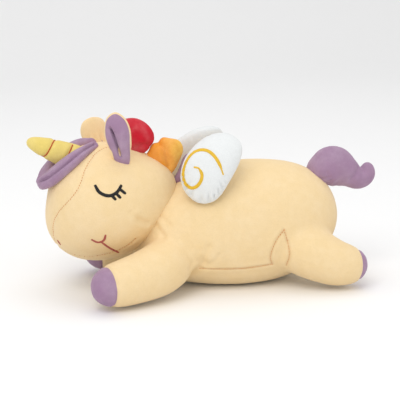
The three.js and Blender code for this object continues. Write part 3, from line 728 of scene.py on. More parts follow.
def cloth_finish(name, colour, worn=0.12, sheen=0.35, warm=None, painted_light_ramp=None):
    """Short-pile plush: brushed patches, a fine pile, and a soft edge sheen.
    Its last argument, when given, is (colour, axis, low, high): another colour that takes over
    along an axis, which paints light on one side of the cloth and shade on the other."""
    material = bpy.data.materials.new(name)
    material.use_nodes = True
    tree = material.node_tree
    tree.nodes.clear()
    wire = Wire(tree)
    place = wire.node("ShaderNodeTexCoord", out="Object")

    def noise(size, detail=2.0, stretch=None):
        where = place
        if stretch:
            where = wire.node("ShaderNodeMapping", inputs={"Vector": place, "Scale": stretch})
        return wire.node("ShaderNodeTexNoise", inputs={
            "Vector": where, "Scale": 1 / size, "Detail": detail, "Roughness": 0.55}, out=0)

    brushed = noise(34 * MM, 3.0, (1.0, 1.5, 0.8)).ramped(0.36, 0.66)
    patches = noise(8 * MM, 3.0).ramped(0.3, 0.75)
    pile = noise(0.75 * MM, 2.0)
    tufts = noise(2.2 * MM, 2.0)
    base = colour
    # Painted light and shade: a second colour takes over along one axis, towards the lit side of
    # the cloth.
    if painted_light_ramp:
        other, axis, low, high = painted_light_ramp
        split = wire.node("ShaderNodeSeparateXYZ", inputs={0: place}, out=axis)
        base = wire.mixed((split + (brushed - 0.5) * (8 * MM)).ramped(low, high), colour, other)
    deep = warm or shade(colour, 1 - worn)
    tone = wire.mixed(brushed * 0.6, base, toward(colour, (1, 1, 1), worn * 0.9))
    tone = wire.mixed((1 - patches) * 0.45, tone, deep)
    tone = wire.mixed((1 - pile.ramped(0.25, 0.6)) * 0.28, tone, shade(colour, 0.72))
    height = pile * 0.5 + tufts * 0.6 + patches * 0.5
    bump = wire.node("ShaderNodeBump", inputs={
        "Strength": 0.4, "Distance": 0.7 * MM, "Height": height})
    surface = wire.node("ShaderNodeBsdfPrincipled", inputs={
        "Base Color": tone, "Roughness": 0.78 + tufts * 0.2, "Normal": bump,
        "Sheen Weight": sheen, "Sheen Roughness": 0.45,
        "Sheen Tint": toward(colour, (1, 1, 1), 0.6), "Specular IOR Level": 0.18})
    wire.node("ShaderNodeOutputMaterial", inputs={"Surface": surface})
    return material


def thread_finish(name, colour, gloss=0.42):
    """Twisted sewing thread: fine ply lines with a soft shine."""
    material = bpy.data.materials.new(name)
    material.use_nodes = True
    tree = material.node_tree
    tree.nodes.clear()
    wire = Wire(tree)
    place = wire.node("ShaderNodeTexCoord", out="Object")
    fibre = wire.node("ShaderNodeTexNoise", inputs={
        "Vector": place, "Scale": 1 / (0.5 * MM), "Detail": 2.0})
    drift = wire.node("ShaderNodeTexNoise", inputs={
        "Vector": place, "Scale": 1 / (5 * MM), "Detail": 1.0})
    tone = wire.mixed(fibre.ramped(0.3, 0.7) * 0.5, shade(colour, 0.8), shade(colour, 1.35))
    tone = wire.mixed(drift * 0.25, tone, shade(colour, 1.15))
    bump = wire.node("ShaderNodeBump", inputs={
        "Strength": 0.35, "Distance": 0.15 * MM, "Height": fibre})
    surface = wire.node("ShaderNodeBsdfPrincipled", inputs={
        "Base Color": tone, "Roughness": gloss + fibre * 0.15, "Normal": bump,
        "Sheen Weight": 0.05, "Specular IOR Level": 0.4})
    wire.node("ShaderNodeOutputMaterial", inputs={"Surface": surface})
    return material


def finish_named(name):
    """The finish of that name, made the first time it is asked for."""
    if name in bpy.data.materials:
        return bpy.data.materials[name]
    c = bpy.context.scene.unicorn_colours
    if name == "cream plush":
        return cloth_finish(name, tuple(c.cream), worn=0.10, sheen=0.28,
                            warm=toward(shade(c.cream, 0.93), tuple(c.amber), 0.12))
    # The second tuft is painted orange at its front and amber towards its back: painted shade in
    # its folds and painted light on its lit edge.
    if name == "orange plush":
        low = (np.array([-52.0, 0, 0]) + SHIFT)[0] * MM
        return cloth_finish(name, tuple(c.orange), sheen=0.25,
                            painted_light_ramp=(tuple(c.amber), 0, low + 2 * MM, low + 26 * MM))
    plush = {
        "lilac plush": (c.lilac, 0.16, 0.35), "yellow plush": (c.yellow, 0.12, 0.3),
        "red plush": (c.red, 0.2, 0.3), "white plush": (c.white, 0.06, 0.25),
    }
    if name in plush:
        colour, worn, sheen = plush[name]
        return cloth_finish(name, tuple(colour), worn=worn, sheen=sheen)
    threads = {
        "gold thread": c.gold, "black thread": c.black, "rose thread": c.rose,
        "rust thread": c.rust, "seam thread": c.seam,
    }
    return thread_finish(name, tuple(threads[name]))


def finished(piece, finish):
    piece.data.materials.clear()
    piece.data.materials.append(finish_named(finish))
    return piece


# ---- Threads ---------------------------------------------------------------------------------
def thread_tree():
    """Short threads set along a line: each point of the line knows the way out of the cloth
    and half the length of its thread."""
    if "Thread run" in bpy.data.node_groups:
        return bpy.data.node_groups["Thread run"]
    tree = bpy.data.node_groups.new("Thread run", "GeometryNodeTree")
    sockets = tree.interface
    sockets.new_socket("Line", in_out="INPUT", socket_type="NodeSocketGeometry")
    for name, default in (("Spacing", 0.6 * MM), ("Turn", math.pi / 2), ("Thickness", 0.4 * MM),
                          ("Lift", 0.3 * MM), ("Unevenness", 0.05)):
        socket = sockets.new_socket(name, in_out="INPUT", socket_type="NodeSocketFloat")
        socket.default_value = default
    sockets.new_socket("Seed", in_out="INPUT", socket_type="NodeSocketInt").default_value = 7
    sockets.new_socket("Thread", in_out="INPUT", socket_type="NodeSocketMaterial")
    sockets.new_socket("Threads", in_out="OUTPUT", socket_type="NodeSocketGeometry")

    def add(kind, settings=None, links=None):
        node = tree.nodes.new(kind)
        for name, value in (settings or {}).items():
            setattr(node, name, value)
        for name, value in (links or {}).items():
            if isinstance(value, bpy.types.NodeSocket):
                tree.links.new(value, node.inputs[name])
            else:
                node.inputs[name].default_value = value
        return node

    given = add("NodeGroupInput").outputs
    curve = add("GeometryNodeMeshToCurve", links={0: given["Line"]}).outputs[0]
    run = add("GeometryNodeResampleCurve", {"mode": "LENGTH"},
              {"Curve": curve, "Length": given["Spacing"]})
    outward = add("GeometryNodeInputNamedAttribute", {"data_type": "FLOAT_VECTOR"},
                  {"Name": "outward"}).outputs["Attribute"]
    half = add("GeometryNodeInputNamedAttribute", {"data_type": "FLOAT"},
               {"Name": "half"}).outputs["Attribute"]
    tangent = add("GeometryNodeInputTangent").outputs[0]
    across = add("ShaderNodeVectorRotate", links={
        "Vector": tangent, "Axis": outward, "Angle": given["Turn"]}).outputs[0]
    raised = add("ShaderNodeVectorMath", {"operation": "SCALE"},
                 {0: outward, "Scale": given["Lift"]}).outputs[0]
    lifted = add("GeometryNodeSetPosition", links={
        "Geometry": run.outputs[0], "Offset": raised}).outputs[0]
    low = add("ShaderNodeMath", {"operation": "SUBTRACT"},
              {0: 1.0, 1: given["Unevenness"]}).outputs[0]
    high = add("ShaderNodeMath", {"operation": "ADD"}, {0: 1.0, 1: given["Unevenness"]}).outputs[0]
    uneven = add("FunctionNodeRandomValue", {"data_type": "FLOAT"}, {
        2: low, 3: high, "Seed": given["Seed"]}).outputs[1]
    reach = add("ShaderNodeMath", {"operation": "MULTIPLY"}, {0: half, 1: uneven}).outputs[0]
    size = add("ShaderNodeCombineXYZ", links={
        0: reach, 1: given["Thickness"], 2: given["Thickness"]}).outputs[0]
    lying = add("FunctionNodeAlignRotationToVector", {"axis": "X"}, {"Vector": across}).outputs[0]
    turned = add("FunctionNodeAlignRotationToVector", {"axis": "Z", "pivot_axis": "X"},
                 {"Rotation": lying, "Vector": outward}).outputs[0]
    grain = add("GeometryNodeMeshUVSphere", links={
        "Segments": 6, "Rings": 6, "Radius": 1.0}).outputs[0]
    grain = add("GeometryNodeTransform", links={
        "Geometry": grain, "Rotation": (0, math.pi / 2, 0)}).outputs[0]
    threads = add("GeometryNodeInstanceOnPoints", links={
        "Points": lifted, "Instance": grain, "Rotation": turned, "Scale": size}).outputs[0]
    real = add("GeometryNodeRealizeInstances", links={0: threads}).outputs[0]
    smooth = add("GeometryNodeSetShadeSmooth", links={0: real}).outputs[0]
    dyed = add("GeometryNodeSetMaterial", links={0: smooth, "Material": given["Thread"]}).outputs[0]
    add("NodeGroupOutput", links={0: dyed})
    return tree


def stitched(name, runs, finish, spacing, thickness, turn=90, lift=0.25 * MM, uneven=0.05):
    """Threads along runs, each (places, ways out, half length of a thread), in metres."""
    mesh = bpy.data.meshes.new(name)
    points, edges, outs, halves = [], [], [], []
    for places, ways, half in runs:
        base = len(points)
        points += list(places)
        outs += list(ways)
        halves += list(np.broadcast_to(half, len(places)))
        edges += [(base + i, base + i + 1) for i in range(len(places) - 1)]
    mesh.from_pydata([tuple(p) for p in points], edges, [])
    mesh.attributes.new("outward", "FLOAT_VECTOR", "POINT").data.foreach_set(
        "vector", np.array(outs, np.float32).ravel())
    mesh.attributes.new("half", "FLOAT", "POINT").data.foreach_set(
        "value", np.array(halves, np.float32))
    piece = bpy.data.objects.new(name, mesh)
    bpy.context.scene.collection.objects.link(piece)
    tree = thread_tree()
    modifier = piece.modifiers.new("Threads", "NODES")
    modifier.node_group = tree
    values = {
        "Spacing": spacing, "Turn": math.radians(turn), "Thickness": thickness, "Lift": lift,
        "Unevenness": uneven, "Thread": finish_named(finish),
    }
    for item in tree.interface.items_tree:
        if item.item_type == "SOCKET" and item.name in values:
            modifier[item.identifier] = values[item.name]
    kept(piece)
    piece.data.materials.clear()
    piece.data.materials.append(finish_named(finish))
    if not len(piece.data.polygons):
        raise RuntimeError(f"{name} has no threads")
    return piece


def satin(name, runs, finish, spacing=None):
    return stitched(name, runs, finish, spacing or bpy.context.scene.unicorn_sizes.satin,
                    thickness=0.62 * MM, turn=84, lift=0.1 * MM)


def seam_stitches(name, runs):
    return stitched(name, [(*run, 1.05 * MM) for run in runs], "seam thread",
                    bpy.context.scene.unicorn_sizes.running, 0.38 * MM, turn=8, lift=0.1 * MM,
                    uneven=0.15)


# ---- Operators -------------------------------------------------------------------------------
class UNICORN_OT_body(bpy.types.Operator):
    """Torso, legs and hooves: one stuffed skin, parted at the hips and at the hoof seams"""

    bl_idname = "unicorn.body"
    bl_label = "Body and legs"

    def execute(self, context):
        sizes = context.scene.unicorn_sizes
        torso = SoftForm(**TORSO)
        legs = {name: SoftForm(**leg) for name, leg in LEGS.items()}
        inset = 2.0
        skin = new_mesh(
            "whole_body", [form.skin(60, 72, inset) for form in (torso, *legs.values())])
        remeshed(skin, sizes.voxel)
        relaxed(skin, 14)
        own = spots(skin) / MM - SHIFT
        floor = np.clip(1 - own[:, 2] / 3, 0, 1)
        stuffed(skin, 3.2 * MM, held=floor)
        finer(skin)
        relaxed(skin, 3)

        # Sewn lines: belly panel, thigh darts, folds under the arms.
        seams = []
        t = np.linspace(0.2, 0.72, 160)
        for side in (-1, 1):
            angle = np.pi + side * math.radians(BELLY_TURN)
            line = torso.point(t, angle)
            if line[:, 1].mean() * side < 0:
                line = torso.point(t, -angle)
            low, high = BELLY_SEAM_ENDS[side]
            line = line[(line[:, 0] > low) & (line[:, 0] < high)]
            side_line = [(x, z) for x, z in zip(line[::6, 0], line[::6, 2])]
            seams.append(drawn_on(skin, side_line, side))
            for dart in THIGH_DART:
                seams.append(drawn_on(skin, dart, side))
        pressed(skin, [places for places, _ in seams], sizes.groove, 1.5 * MM, swell=0.35)
        for side in (-1, 1):
            for fold, depth, width in ARMPIT_FOLDS + NECK_FOLDS:
                pressed(skin, [drawn_on(skin, fold, side)[0]], depth * MM, width * MM)

        # The hoof seams are cut clean and drawn in.
        bm = bmesh.new()
        bm.from_mesh(skin.data)
        cuts = {}
        beyond_seam = {}
        for name, leg in LEGS.items():
            course = legs[name].course
            share = 1 - leg["hoof"] / course.length
            at, way = placed(course.at(share)), course.along(share)
            cuts[name] = (at, way)
            near = [f for f in bm.faces
                    if (f.calc_center_median() - Vector(at)).length < HOOF_CUT_REACH * MM]
            geom = (near + list(dict.fromkeys(e for f in near for e in f.edges))
                    + list(dict.fromkeys(v for f in near for v in f.verts)))
            bmesh.ops.bisect_plane(bm, geom=geom, dist=0.1 * MM, plane_co=at, plane_no=way)
        bm.to_mesh(skin.data)
        bm.free()
        skin.data.update()
        points, outs = spots(skin), ways_out(skin)
        centres = np.array([p.center for p in skin.data.polygons])
        for name, (at, way) in cuts.items():
            beyond_seam[name] = ((centres - at) @ way > 0) & (
                np.linalg.norm(centres - at, axis=1) < HOOF_CUT_REACH * MM)
        for at, way in cuts.values():
            near = np.linalg.norm(points - at, axis=1) < HOOF_TUCK_REACH * MM
            away = np.abs((points - at) @ way)
            points -= outs * (near * (1.5 * MM) * np.exp(-((away / (1.7 * MM)) ** 2)))[:, None]
        move_to(skin, points)
        rested(skin)
        smooth_shaded(skin)

        centres = np.array([p.center for p in skin.data.polygons])
        own = centres / MM - SHIFT
        labels = np.zeros(len(centres), int)
        from_torso = torso.depth(own)
        for k, (name, form) in enumerate(legs.items(), 1):
            start = form.course.at(LEG_BEND[0])
            heading = unit(form.course.at(LEG_BEND[1]) - start)
            beyond = (own - start) @ heading > 0
            side = np.sign(form.course.at(0.5)[1])
            mine = beyond & (form.depth(own) < from_torso - 1) & (own[:, 1] * side > 0)
            labels[mine] = k
            labels[beyond_seam[name]] = k + 10
        torso_core = torso.skin(24, 30, 4.5)
        body = finished(part_of(skin, labels, 0, "torso_skin", torso_core), "cream plush")
        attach(body, "torso")
        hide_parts("body_side_left", "body_side_right", "belly_panel", "body_filling")
        for k, (name, form) in enumerate(legs.items(), 1):
            core = form.skin(18, 24, 4.5)
            sleeve = finished(part_of(skin, labels, k, f"{name}_skin", core), "cream plush")
            start, end = (placed(form.course.at(share)) for share in LEG_BEND)
            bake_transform(sleeve)
            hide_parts(f"{name}_sleeve", f"{name}_filling")
            hoof_node = name.replace("leg", "hoof")
            hoof = finished(part_of(skin, labels, k + 10, f"{hoof_node}_cap"), "lilac plush")
            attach(hoof, name)
            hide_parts(hoof_node)
        threads = seam_stitches("body_seam_threads", seams)
        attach(threads, "torso")
        bpy.data.objects.remove(skin)
        return {"FINISHED"}


class UNICORN_OT_head(bpy.types.Operator):
    """Head: a stuffed ball of four panels with drawn-in seams and a dart in each cheek"""

    bl_idname = "unicorn.head"
    bl_label = "Head"

    def execute(self, context):
        sizes = context.scene.unicorn_sizes
        bm = bmesh.new()
        bmesh.ops.create_icosphere(bm, subdivisions=6, radius=1)
        directions = unit([v.co for v in bm.verts])
        faces = [[v.index for v in f.verts] for f in bm.faces]
        bm.free()
        points = directions * (head_reach(directions) - 0.4)[:, None]
        points[:, 1] *= HEAD["width"]
        head = new_mesh("head_skin", [(points + HEAD["centre"], faces)])
        face = np.linspace(FACE_PANEL[0][0], FACE_PANEL[-1][0], 260)
        chin = np.linspace(CHIN_PANEL[0][0], CHIN_PANEL[-1][0], 140)
        seams = []
        for side in (-1, 1):
            for angles, table in ((face, FACE_PANEL), (chin, CHIN_PANEL)):
                seams.append(on_head(angles, side * by_angle(table, angles), 0.4))
        nose = np.linspace(-FACE_PANEL[-1][1], FACE_PANEL[-1][1], 20)
        seams.append(on_head(np.full(20, float(FACE_PANEL[-1][0])), nose, 0.4))
        seams = [placed(line) for line in seams]
        stuffed_between = distance_to(spots(head), seams)
        puff = 0.9 * MM * (1 - np.exp(-((stuffed_between / (14 * MM)) ** 2)))
        move_to(head, spots(head) + ways_out(head) * puff[:, None])
        pressed(head, seams, sizes.groove, 1.5 * MM, swell=0.3)
        for side in (-1, 1):
            dart = drawn_on(head, CHEEK_DART, side)[0]
            pressed(head, [dart], 2.2 * MM, 2.6 * MM, swell=0.5)
            fold = drawn_on(head, CHEEK_FOLD, side)[0]
            pressed(head, [fold], 0.9 * MM, 2.4 * MM)
        finished(head, "cream plush")
        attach(head, "head")
        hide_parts("head_side_left", "head_side_right", "face_panel", "chin_panel",
                    "head_filling")
        runs = []
        for line in seams[:4]:
            inwards = placed([HEAD["centre"]]) - line[2:-2]
            runs.append(laid_on(head, line[2:-2] - 0.2 * inwards, inwards))
        threads = seam_stitches("head_seam_threads", runs)
        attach(threads, "head")
        return {"FINISHED"}


class UNICORN_OT_face(bpy.types.Operator):
    """Closed eyes, smile and nostrils in satin stitch"""

    bl_idname = "unicorn.face"
    bl_label = "Embroidered face"

    def execute(self, context):
        head = bpy.data.objects["head_skin"]

        def line(points, side, half, taper=0.25):
            places, ways = drawn_on(head, points, side, 0.7)
            share = np.linspace(-1, 1, len(places))
            return places, ways, half * MM * (1 - taper * np.abs(share) ** 6)

        for side, word in ((-1, "left"), (1, "right")):
            runs = [line(EYE_LID, side, 2.0)] + [line(lash, side, 1.8) for lash in EYE_LASHES]
            eye = satin(f"eye_{word}_stitches", runs, "black thread")
            smile = satin(f"mouth_{word}_stitches",
                          [line(CHEEK_LINE, side, 1.4), line(SMILE, side, 1.4)], "rose thread")
            angles = np.linspace(*NOSTRIL["angles"], 8)
            spot = placed(on_head(angles, np.full(8, NOSTRIL["across"] * side)))
            inwards = placed([HEAD["centre"]]) - spot
            places, ways = laid_on(head, spot - 0.2 * inwards, inwards)
            half = NOSTRIL["half"] * MM * np.sin(np.linspace(0.5, 2.64, 8))
            nostril = satin(f"nostril_{word}_stitches", [(places, ways, half)], "rose thread")
            for piece, node, slot in ((eye, f"eye_{word}", "black_thread"),
                                      (smile, f"mouth_{word}", "rose_thread"),
                                      (nostril, f"nostril_{word}", "rose_thread")):
                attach(piece, "head")
                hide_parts(node)
        return {"FINISHED"}


class UNICORN_OT_horn(bpy.types.Operator):
    """Horn, drawn in where a twisted cord is wound round it"""

    bl_idname = "unicorn.horn"
    bl_label = "Horn and cord"

    def execute(self, context):
        form = SoftForm(**HORN)
        horn = new_mesh("horn_skin", [form.skin(90, 80)])
        before, after = HORN_CORD["tails"]
        turn = np.linspace(-before, 1 + after, 260)
        t = (HORN_CORD["first"] + HORN_CORD["pitch"] * turn
             - HORN_CORD["ease"] * np.sin(2 * np.pi * turn))
        cord = placed(form.point(t, 1.5 * np.pi + 2 * np.pi * turn))
        pressed(horn, [cord], 1.3 * MM, 2.2 * MM, swell=0.12)
        own = spots(horn)
        ripple = (np.sin(own[:, 0] / (3.1 * MM))
                  * np.sin(own[:, 1] / (2.3 * MM) + own[:, 2] / (5 * MM)))
        near = np.exp(-((distance_to(own, [cord]) / (7 * MM)) ** 2))
        move_to(horn, own + ways_out(horn) * (0.25 * MM * ripple * near)[:, None])
        finished(horn, "yellow plush")
        middle = placed(form.course.at(t))
        places, ways = laid_on(horn, cord + unit(cord - middle) * 4 * MM, middle - cord)
        thread = stitched("horn_cord_stitches", [(places, ways, 1.15 * MM)], "rust thread",
                          0.75 * MM, 0.5 * MM, turn=28, lift=0.35 * MM)
        for piece in (horn, thread):
            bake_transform(piece)
        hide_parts("horn_cover", "horn_filling")
        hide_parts("horn_cord", "horn_cord_start")
        return {"FINISHED"}


class UNICORN_OT_forelock(bpy.types.Operator):
    """Forelock: a padded lock round the foot of the horn, folded along its middle"""

    bl_idname = "unicorn.forelock"
    bl_label = "Forelock"

    def execute(self, context):
        shells, creases = [], []
        for side in (1, -1):
            path = [(x, y * side, z) for x, y, z in FORELOCK["side"]]
            lean = np.array(FORELOCK["facing"]) * (1, -side, 1)
            form = SoftForm(path, FORELOCK["wide"], FORELOCK["thick"], facing=lean)
            shells.append(form.skin(40, 36))
            # The fold runs along the outer face, nearer its lower edge.
            share = np.linspace(0.06, 0.86, 120)
            middle = form.course.at(share)
            out, across = side_frame(form.course.along(share), form.facing)
            away = across * np.sign(across[:, 1:2] * -side)
            away = np.where(away[:, 2:3] < 0, away, -away)
            creases.append((middle, unit(out + 0.85 * away)))
        lock = new_mesh("forelock_skin", shells)
        remeshed(lock, 1.8 * MM)
        relaxed(lock, 5)
        stuffed(lock, 1.5 * MM)
        finer(lock)
        for middle, way in creases:
            crease, _ = laid_on(lock, placed(middle + way * 30), -way)
            pressed(lock, [crease], 3.2 * MM, 1.6 * MM, swell=0.4)
        finished(lock, "lilac plush")
        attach(lock, "head")
        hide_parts("forelock_cover", "forelock_filling")
        return {"FINISHED"}


class UNICORN_OT_ears(bpy.types.Operator):
    """Ears: a cream back and a lilac lining with a deep fold"""

    bl_idname = "unicorn.ears"
    bl_label = "Ears"

    def execute(self, context):
        for name, ear in EARS.items():
            shell = Pillow(**ear)
            rim = np.array(ear["outline"], float) - shell.middle
            rim *= 1 - EAR_RIM / np.linalg.norm(rim, axis=1, keepdims=True)
            inner = dict(ear, outline=rim + shell.middle, thick=5.5,
                         root=np.array(ear["root"]) + shell.out * 1.6)
            back = new_mesh(f"{name}_back_skin", [shell.skin(24, 160)])
            lining = new_mesh(f"{name}_lining_skin", [Pillow(**inner).skin(30, 220)])
            slit = Course(ear["slit"])
            low, high = ear["slit"][0][1], ear["slit"][-1][1]
            for piece, front in ((back, 6.2), (lining, 6.2)):
                points = spots(piece)
                u, v, w = shell.flat(points / MM - SHIFT)
                at = np.interp(v, slit.line[:, 1], slit.line[:, 0])
                window = np.clip((v - low) / 6, 0, 1) * np.clip((high - v + 1) / 7, 0, 1)
                away = np.abs(u - at)
                dip = front * np.exp(-((away / 1.25) ** 2)) + 1.6 * np.exp(-((away / 4.5) ** 2))
                bow = shell.curl * ((v - shell.middle[1]) / shell.height) ** 2
                raised = np.clip((w + bow + 0.5) / 2, 0, 1)
                points -= shell.out * (dip * window * raised * MM)[:, None]
                move_to(piece, points)
            # The foot of the ear is gathered into its seam.
            points = spots(back)
            u, v, _ = shell.flat(points / MM - SHIFT)
            gather = np.cos(0.8 * u + 0.8) * np.exp(-(((v - 12) / 9) ** 2))
            move_to(back, points + ways_out(back) * (1.3 * MM * gather)[:, None])
            finished(back, "cream plush")
            finished(lining, "lilac plush")
            start, end = (placed(np.array(ear["root"]) + shell.up * rise) for rise in (2, 20))
            for piece, node, slot in ((back, f"{name}_back", "cream_plush"),
                                      (lining, f"{name}_lining", "lilac_plush")):
                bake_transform(piece)
                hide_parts(node)
        return {"FINISHED"}


class UNICORN_OT_mane(bpy.types.Operator):
    """Three mane tufts: padded leaves standing in the seam at the back of the head"""

    bl_idname = "unicorn.mane"
    bl_label = "Mane tufts"

    def execute(self, context):
        finishes = {"mane_red": "red", "mane_orange": "orange", "mane_purple": "lilac"}
        for name, tuft in TUFTS.items():
            a, rise = (math.radians(tuft[key]) for key in ("angle", "rise"))
            root = np.array(HEAD["centre"]) + np.array([math.cos(a), 0, math.sin(a)]) * tuft["root"]
            up = np.array([math.cos(rise), 0, math.sin(rise)])
            form = Pillow(root, up, (0, -1, 0), tuft["outline"], tuft["thick"])
            piece = new_mesh(f"{name}_skin", [form.skin(24, 120, 0.8)])
            remeshed(piece, 2.0 * MM)
            stuffed(piece, 2.0 * MM)
            finer(piece)
            edge = form.edge.dense(1.0)
            seam = placed(form.lift(edge[:, 0], edge[:, 1], np.zeros(len(edge))))
            pressed(piece, [seam], 0.9 * MM, 1.4 * MM)
            if name == "mane_orange":
                for side in (-1, 1):
                    crease = drawn_on(piece, ORANGE_CREASE, side)[0]
                    pressed(piece, [crease], 3.0 * MM, 3.2 * MM, swell=0.5)
            if name == "mane_red":
                for side in (-1, 1):
                    fold = drawn_on(piece, RED_FOLD, side)[0]
                    pressed(piece, [fold], 1.6 * MM, 2.6 * MM, swell=0.4)
            finished(piece, f"{finishes[name]} plush")
            start = placed(root + up * (HEAD["radius"] - tuft["root"] + 2))
            end = placed(root + up * (HEAD["radius"] - tuft["root"] + 20))
            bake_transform(piece)
            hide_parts(f"{name}_cover", f"{name}_filling")
        return {"FINISHED"}


class UNICORN_OT_wings(bpy.types.Operator):
    """Wings: two stuffed panels each, gathered along the edge, with a spiral of gold thread"""

    bl_idname = "unicorn.wings"
    bl_label = "Wings"

    def execute(self, context):
        for name, wing in WINGS.items():
            form = Pillow(**wing)
            hand = 1 if wing["outline"][0][0] < 0 else -1
            piece = new_mesh(f"{name}_skin", [form.skin(30, 150, 1.2)])
            remeshed(piece, 2.6 * MM)
            edge = form.edge.dense(1.0)
            seam = placed(form.lift(edge[:, 0], edge[:, 1], np.zeros(len(edge))))
            away = distance_to(spots(piece), [seam])
            stuffed(piece, 3.0 * MM, held=np.exp(-((away / (3 * MM)) ** 2)))
            finer(piece)
            # Gathers: short pleats square to the edge, deeper along the bottom.
            points = spots(piece)
            u, v, _ = form.flat(points / MM - SHIFT)
            turn = np.arctan2(v - form.middle[1], (u - form.middle[0]) * hand)
            away = distance_to(points, [seam])
            low = np.clip((4 - v) / 20, 0, 1)
            share = np.mod(turn * PLEATS / (2 * np.pi) + 0.3 * np.sin(turn * 5), 1) - 0.5
            pleat = 0.35 - np.exp(-((share / 0.17) ** 2))
            reach = (6.5 + 2.5 * np.sin(turn * 11)) * MM
            fade = (np.exp(-(((away - 7 * MM) / reach) ** 2))
                    * (1 - np.exp(-((away / (5 * MM)) ** 2))))
            lift = 2.9 * MM * pleat * fade * (0.1 + 0.9 * low) - 1.2 * MM * np.exp(
                -((away / (1.4 * MM)) ** 2))
            move_to(piece, points + ways_out(piece) * lift[:, None])
            finished(piece, "white plush")
            line = Course(SWIRL).dense(0.7)
            far = placed(form.lift(line[:, 0] * hand, line[:, 1], np.full(len(line), 40.0)))
            places, ways = laid_on(piece, far, np.tile(-form.out, (len(line), 1)))
            share = np.linspace(0, 1, len(line))
            half = ((1.8 + 0.5 * np.sin(np.pi * share)) * np.clip(share * 12, 0.5, 1)
                    * np.clip((1 - share) * 12, 0.6, 1))
            swirl = satin(f"{name}_swirl_stitches", [(places, ways, half * MM)], "gold thread")
            for made in (piece, swirl):
                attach(made, name)
            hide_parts(f"{name}_cover", f"{name}_filling")
            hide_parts(f"{name}_swirl")
        return {"FINISHED"}


class UNICORN_OT_tail(bpy.types.Operator):
    """Tail: one stuffed curl, gathered where it is sewn to the body"""

    bl_idname = "unicorn.tail"
    bl_label = "Tail"

    def execute(self, context):
        form = SoftForm(**TAIL)
        piece = new_mesh("tail_skin", [form.skin(70, 48, 0.8)])
        remeshed(piece, 2.2 * MM)
        relaxed(piece, 3)
        stuffed(piece, 2.0 * MM)
        finer(piece)
        for side in (-1, 1):
            crease = drawn_on(piece, TAIL_CREASE, side)[0]
            pressed(piece, [crease], 1.4 * MM, 3.0 * MM, swell=0.4)
            for fold in TAIL_GATHERS:
                pressed(piece, [drawn_on(piece, fold, side)[0]], 1.0 * MM, 2.2 * MM, swell=0.4)
        finished(piece, "lilac plush")
        placed(form.course.at(0.08))
        placed(form.course.at(0.34))
        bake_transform(piece)
        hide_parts("tail_cover", "tail_filling")
        return {"FINISHED"}


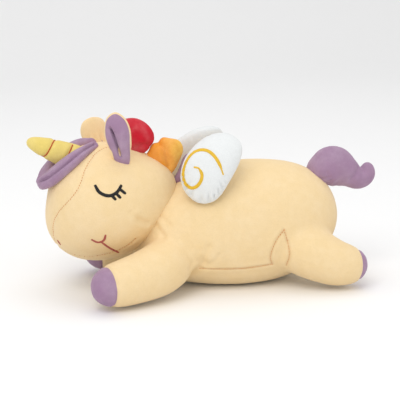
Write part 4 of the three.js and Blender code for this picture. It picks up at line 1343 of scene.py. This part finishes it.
class UNICORN_OT_stage(bpy.types.Operator):
    """Pale floor and backdrop, soft lights and the camera"""

    bl_idname = "unicorn.stage"
    bl_label = "Floor, lights and camera"

    def execute(self, context):
        scene = bpy.context.scene
        colour = tuple(scene.unicorn_colours.floor)
        # A floor that curves up into a backdrop.
        depth, curve, height = 1.6, 1.2, 2.6
        profile = [(-3.0, 0.0), (depth, 0.0)]
        profile += [(depth + curve * math.sin(a), curve * (1 - math.cos(a)))
                    for a in np.linspace(0.1, math.pi / 2, 14)]
        profile.append((depth + curve, height))
        points = [(x, y, z) for y, z in profile for x in (-4.0, 4.0)]
        mesh = bpy.data.meshes.new("floor")
        mesh.from_pydata(points, [], [
            (2 * i, 2 * i + 1, 2 * i + 3, 2 * i + 2) for i in range(len(profile) - 1)])
        floor = bpy.data.objects.new("floor", mesh)
        scene.collection.objects.link(floor)
        smooth_shaded(floor)
        material = bpy.data.materials.new("paper backdrop")
        material.use_nodes = True
        tree = material.node_tree
        tree.nodes.clear()
        wire = Wire(tree)
        place = wire.node("ShaderNodeTexCoord", out="Object")
        grain = wire.node("ShaderNodeTexNoise", inputs={
            "Vector": place, "Scale": 3.0, "Detail": 2.0})
        tone = wire.mixed(grain * 0.3, colour, shade(colour, 0.99))
        surface = wire.node("ShaderNodeBsdfPrincipled", inputs={
            "Base Color": tone, "Roughness": 0.95})
        wire.node("ShaderNodeOutputMaterial", inputs={"Surface": surface})
        mesh.materials.append(material)

        world = bpy.data.worlds.new("studio air")
        world.use_nodes = True
        world.node_tree.nodes["Background"].inputs["Color"].default_value = (1, 1, 1, 1)
        world.node_tree.nodes["Background"].inputs["Strength"].default_value = AIR_LIGHT
        scene.world = world
        middle = Vector(placed((0, 0, 80)))
        for name, spot, size, power in LIGHTS:
            light = bpy.data.lights.new(name, "AREA")
            light.size, light.energy = size, power
            lamp = bpy.data.objects.new(name, light)
            lamp.location = middle + Vector(spot)
            lamp.rotation_euler = (-Vector(spot)).to_track_quat("-Z", "Y").to_euler()
            scene.collection.objects.link(lamp)

        camera = bpy.data.cameras.new("camera")
        camera.sensor_width, camera.lens = 36, CAMERA["lens"]
        camera.clip_end = 50
        eye = bpy.data.objects.new("camera", camera)
        a, e = (math.radians(degrees) for degrees in CAMERA["turned"])
        back = Vector((math.sin(a) * math.cos(e), -math.cos(a) * math.cos(e), math.sin(e)))
        eye.location = Vector(placed(CAMERA["aim"])) + back * CAMERA["away"]
        eye.rotation_euler = (-back).to_track_quat("-Z", "Y").to_euler()
        scene.collection.objects.link(eye)
        scene.camera = eye
        scene.view_settings.view_transform = "Standard"
        return {"FINISHED"}


MAKERS = (
    UNICORN_OT_stage, UNICORN_OT_body, UNICORN_OT_head, UNICORN_OT_face, UNICORN_OT_horn,
    UNICORN_OT_forelock, UNICORN_OT_ears, UNICORN_OT_mane, UNICORN_OT_wings, UNICORN_OT_tail,
)


class UNICORN_PT_makers(bpy.types.Panel):
    """The makers of the toy, one button each"""

    bl_idname = "UNICORN_PT_makers"
    bl_label = "Stuffed unicorn"
    bl_space_type = "VIEW_3D"
    bl_region_type = "UI"
    bl_category = "Unicorn"

    def draw(self, context):
        for maker in MAKERS:
            self.layout.operator(maker.bl_idname)
        for group in (context.scene.unicorn_sizes, context.scene.unicorn_colours):
            box = self.layout.box()
            for name in group.bl_rna.properties.keys():
                if name not in ("rna_type", "name"):
                    box.prop(group, name)


CLASSES = (UnicornColours, UnicornSizes, *MAKERS, UNICORN_PT_makers)


def register():
    for cls in CLASSES:
        bpy.utils.register_class(cls)
    bpy.types.Scene.unicorn_colours = PointerProperty(type=UnicornColours)
    bpy.types.Scene.unicorn_sizes = PointerProperty(type=UnicornSizes)


def unregister():
    del bpy.types.Scene.unicorn_colours
    del bpy.types.Scene.unicorn_sizes
    for cls in reversed(CLASSES):
        bpy.utils.unregister_class(cls)


def main():
    register()
    for maker in MAKERS:
        group, name = maker.bl_idname.split(".")
        getattr(getattr(bpy.ops, group), name)()


if __name__ == "__main__":
    main()
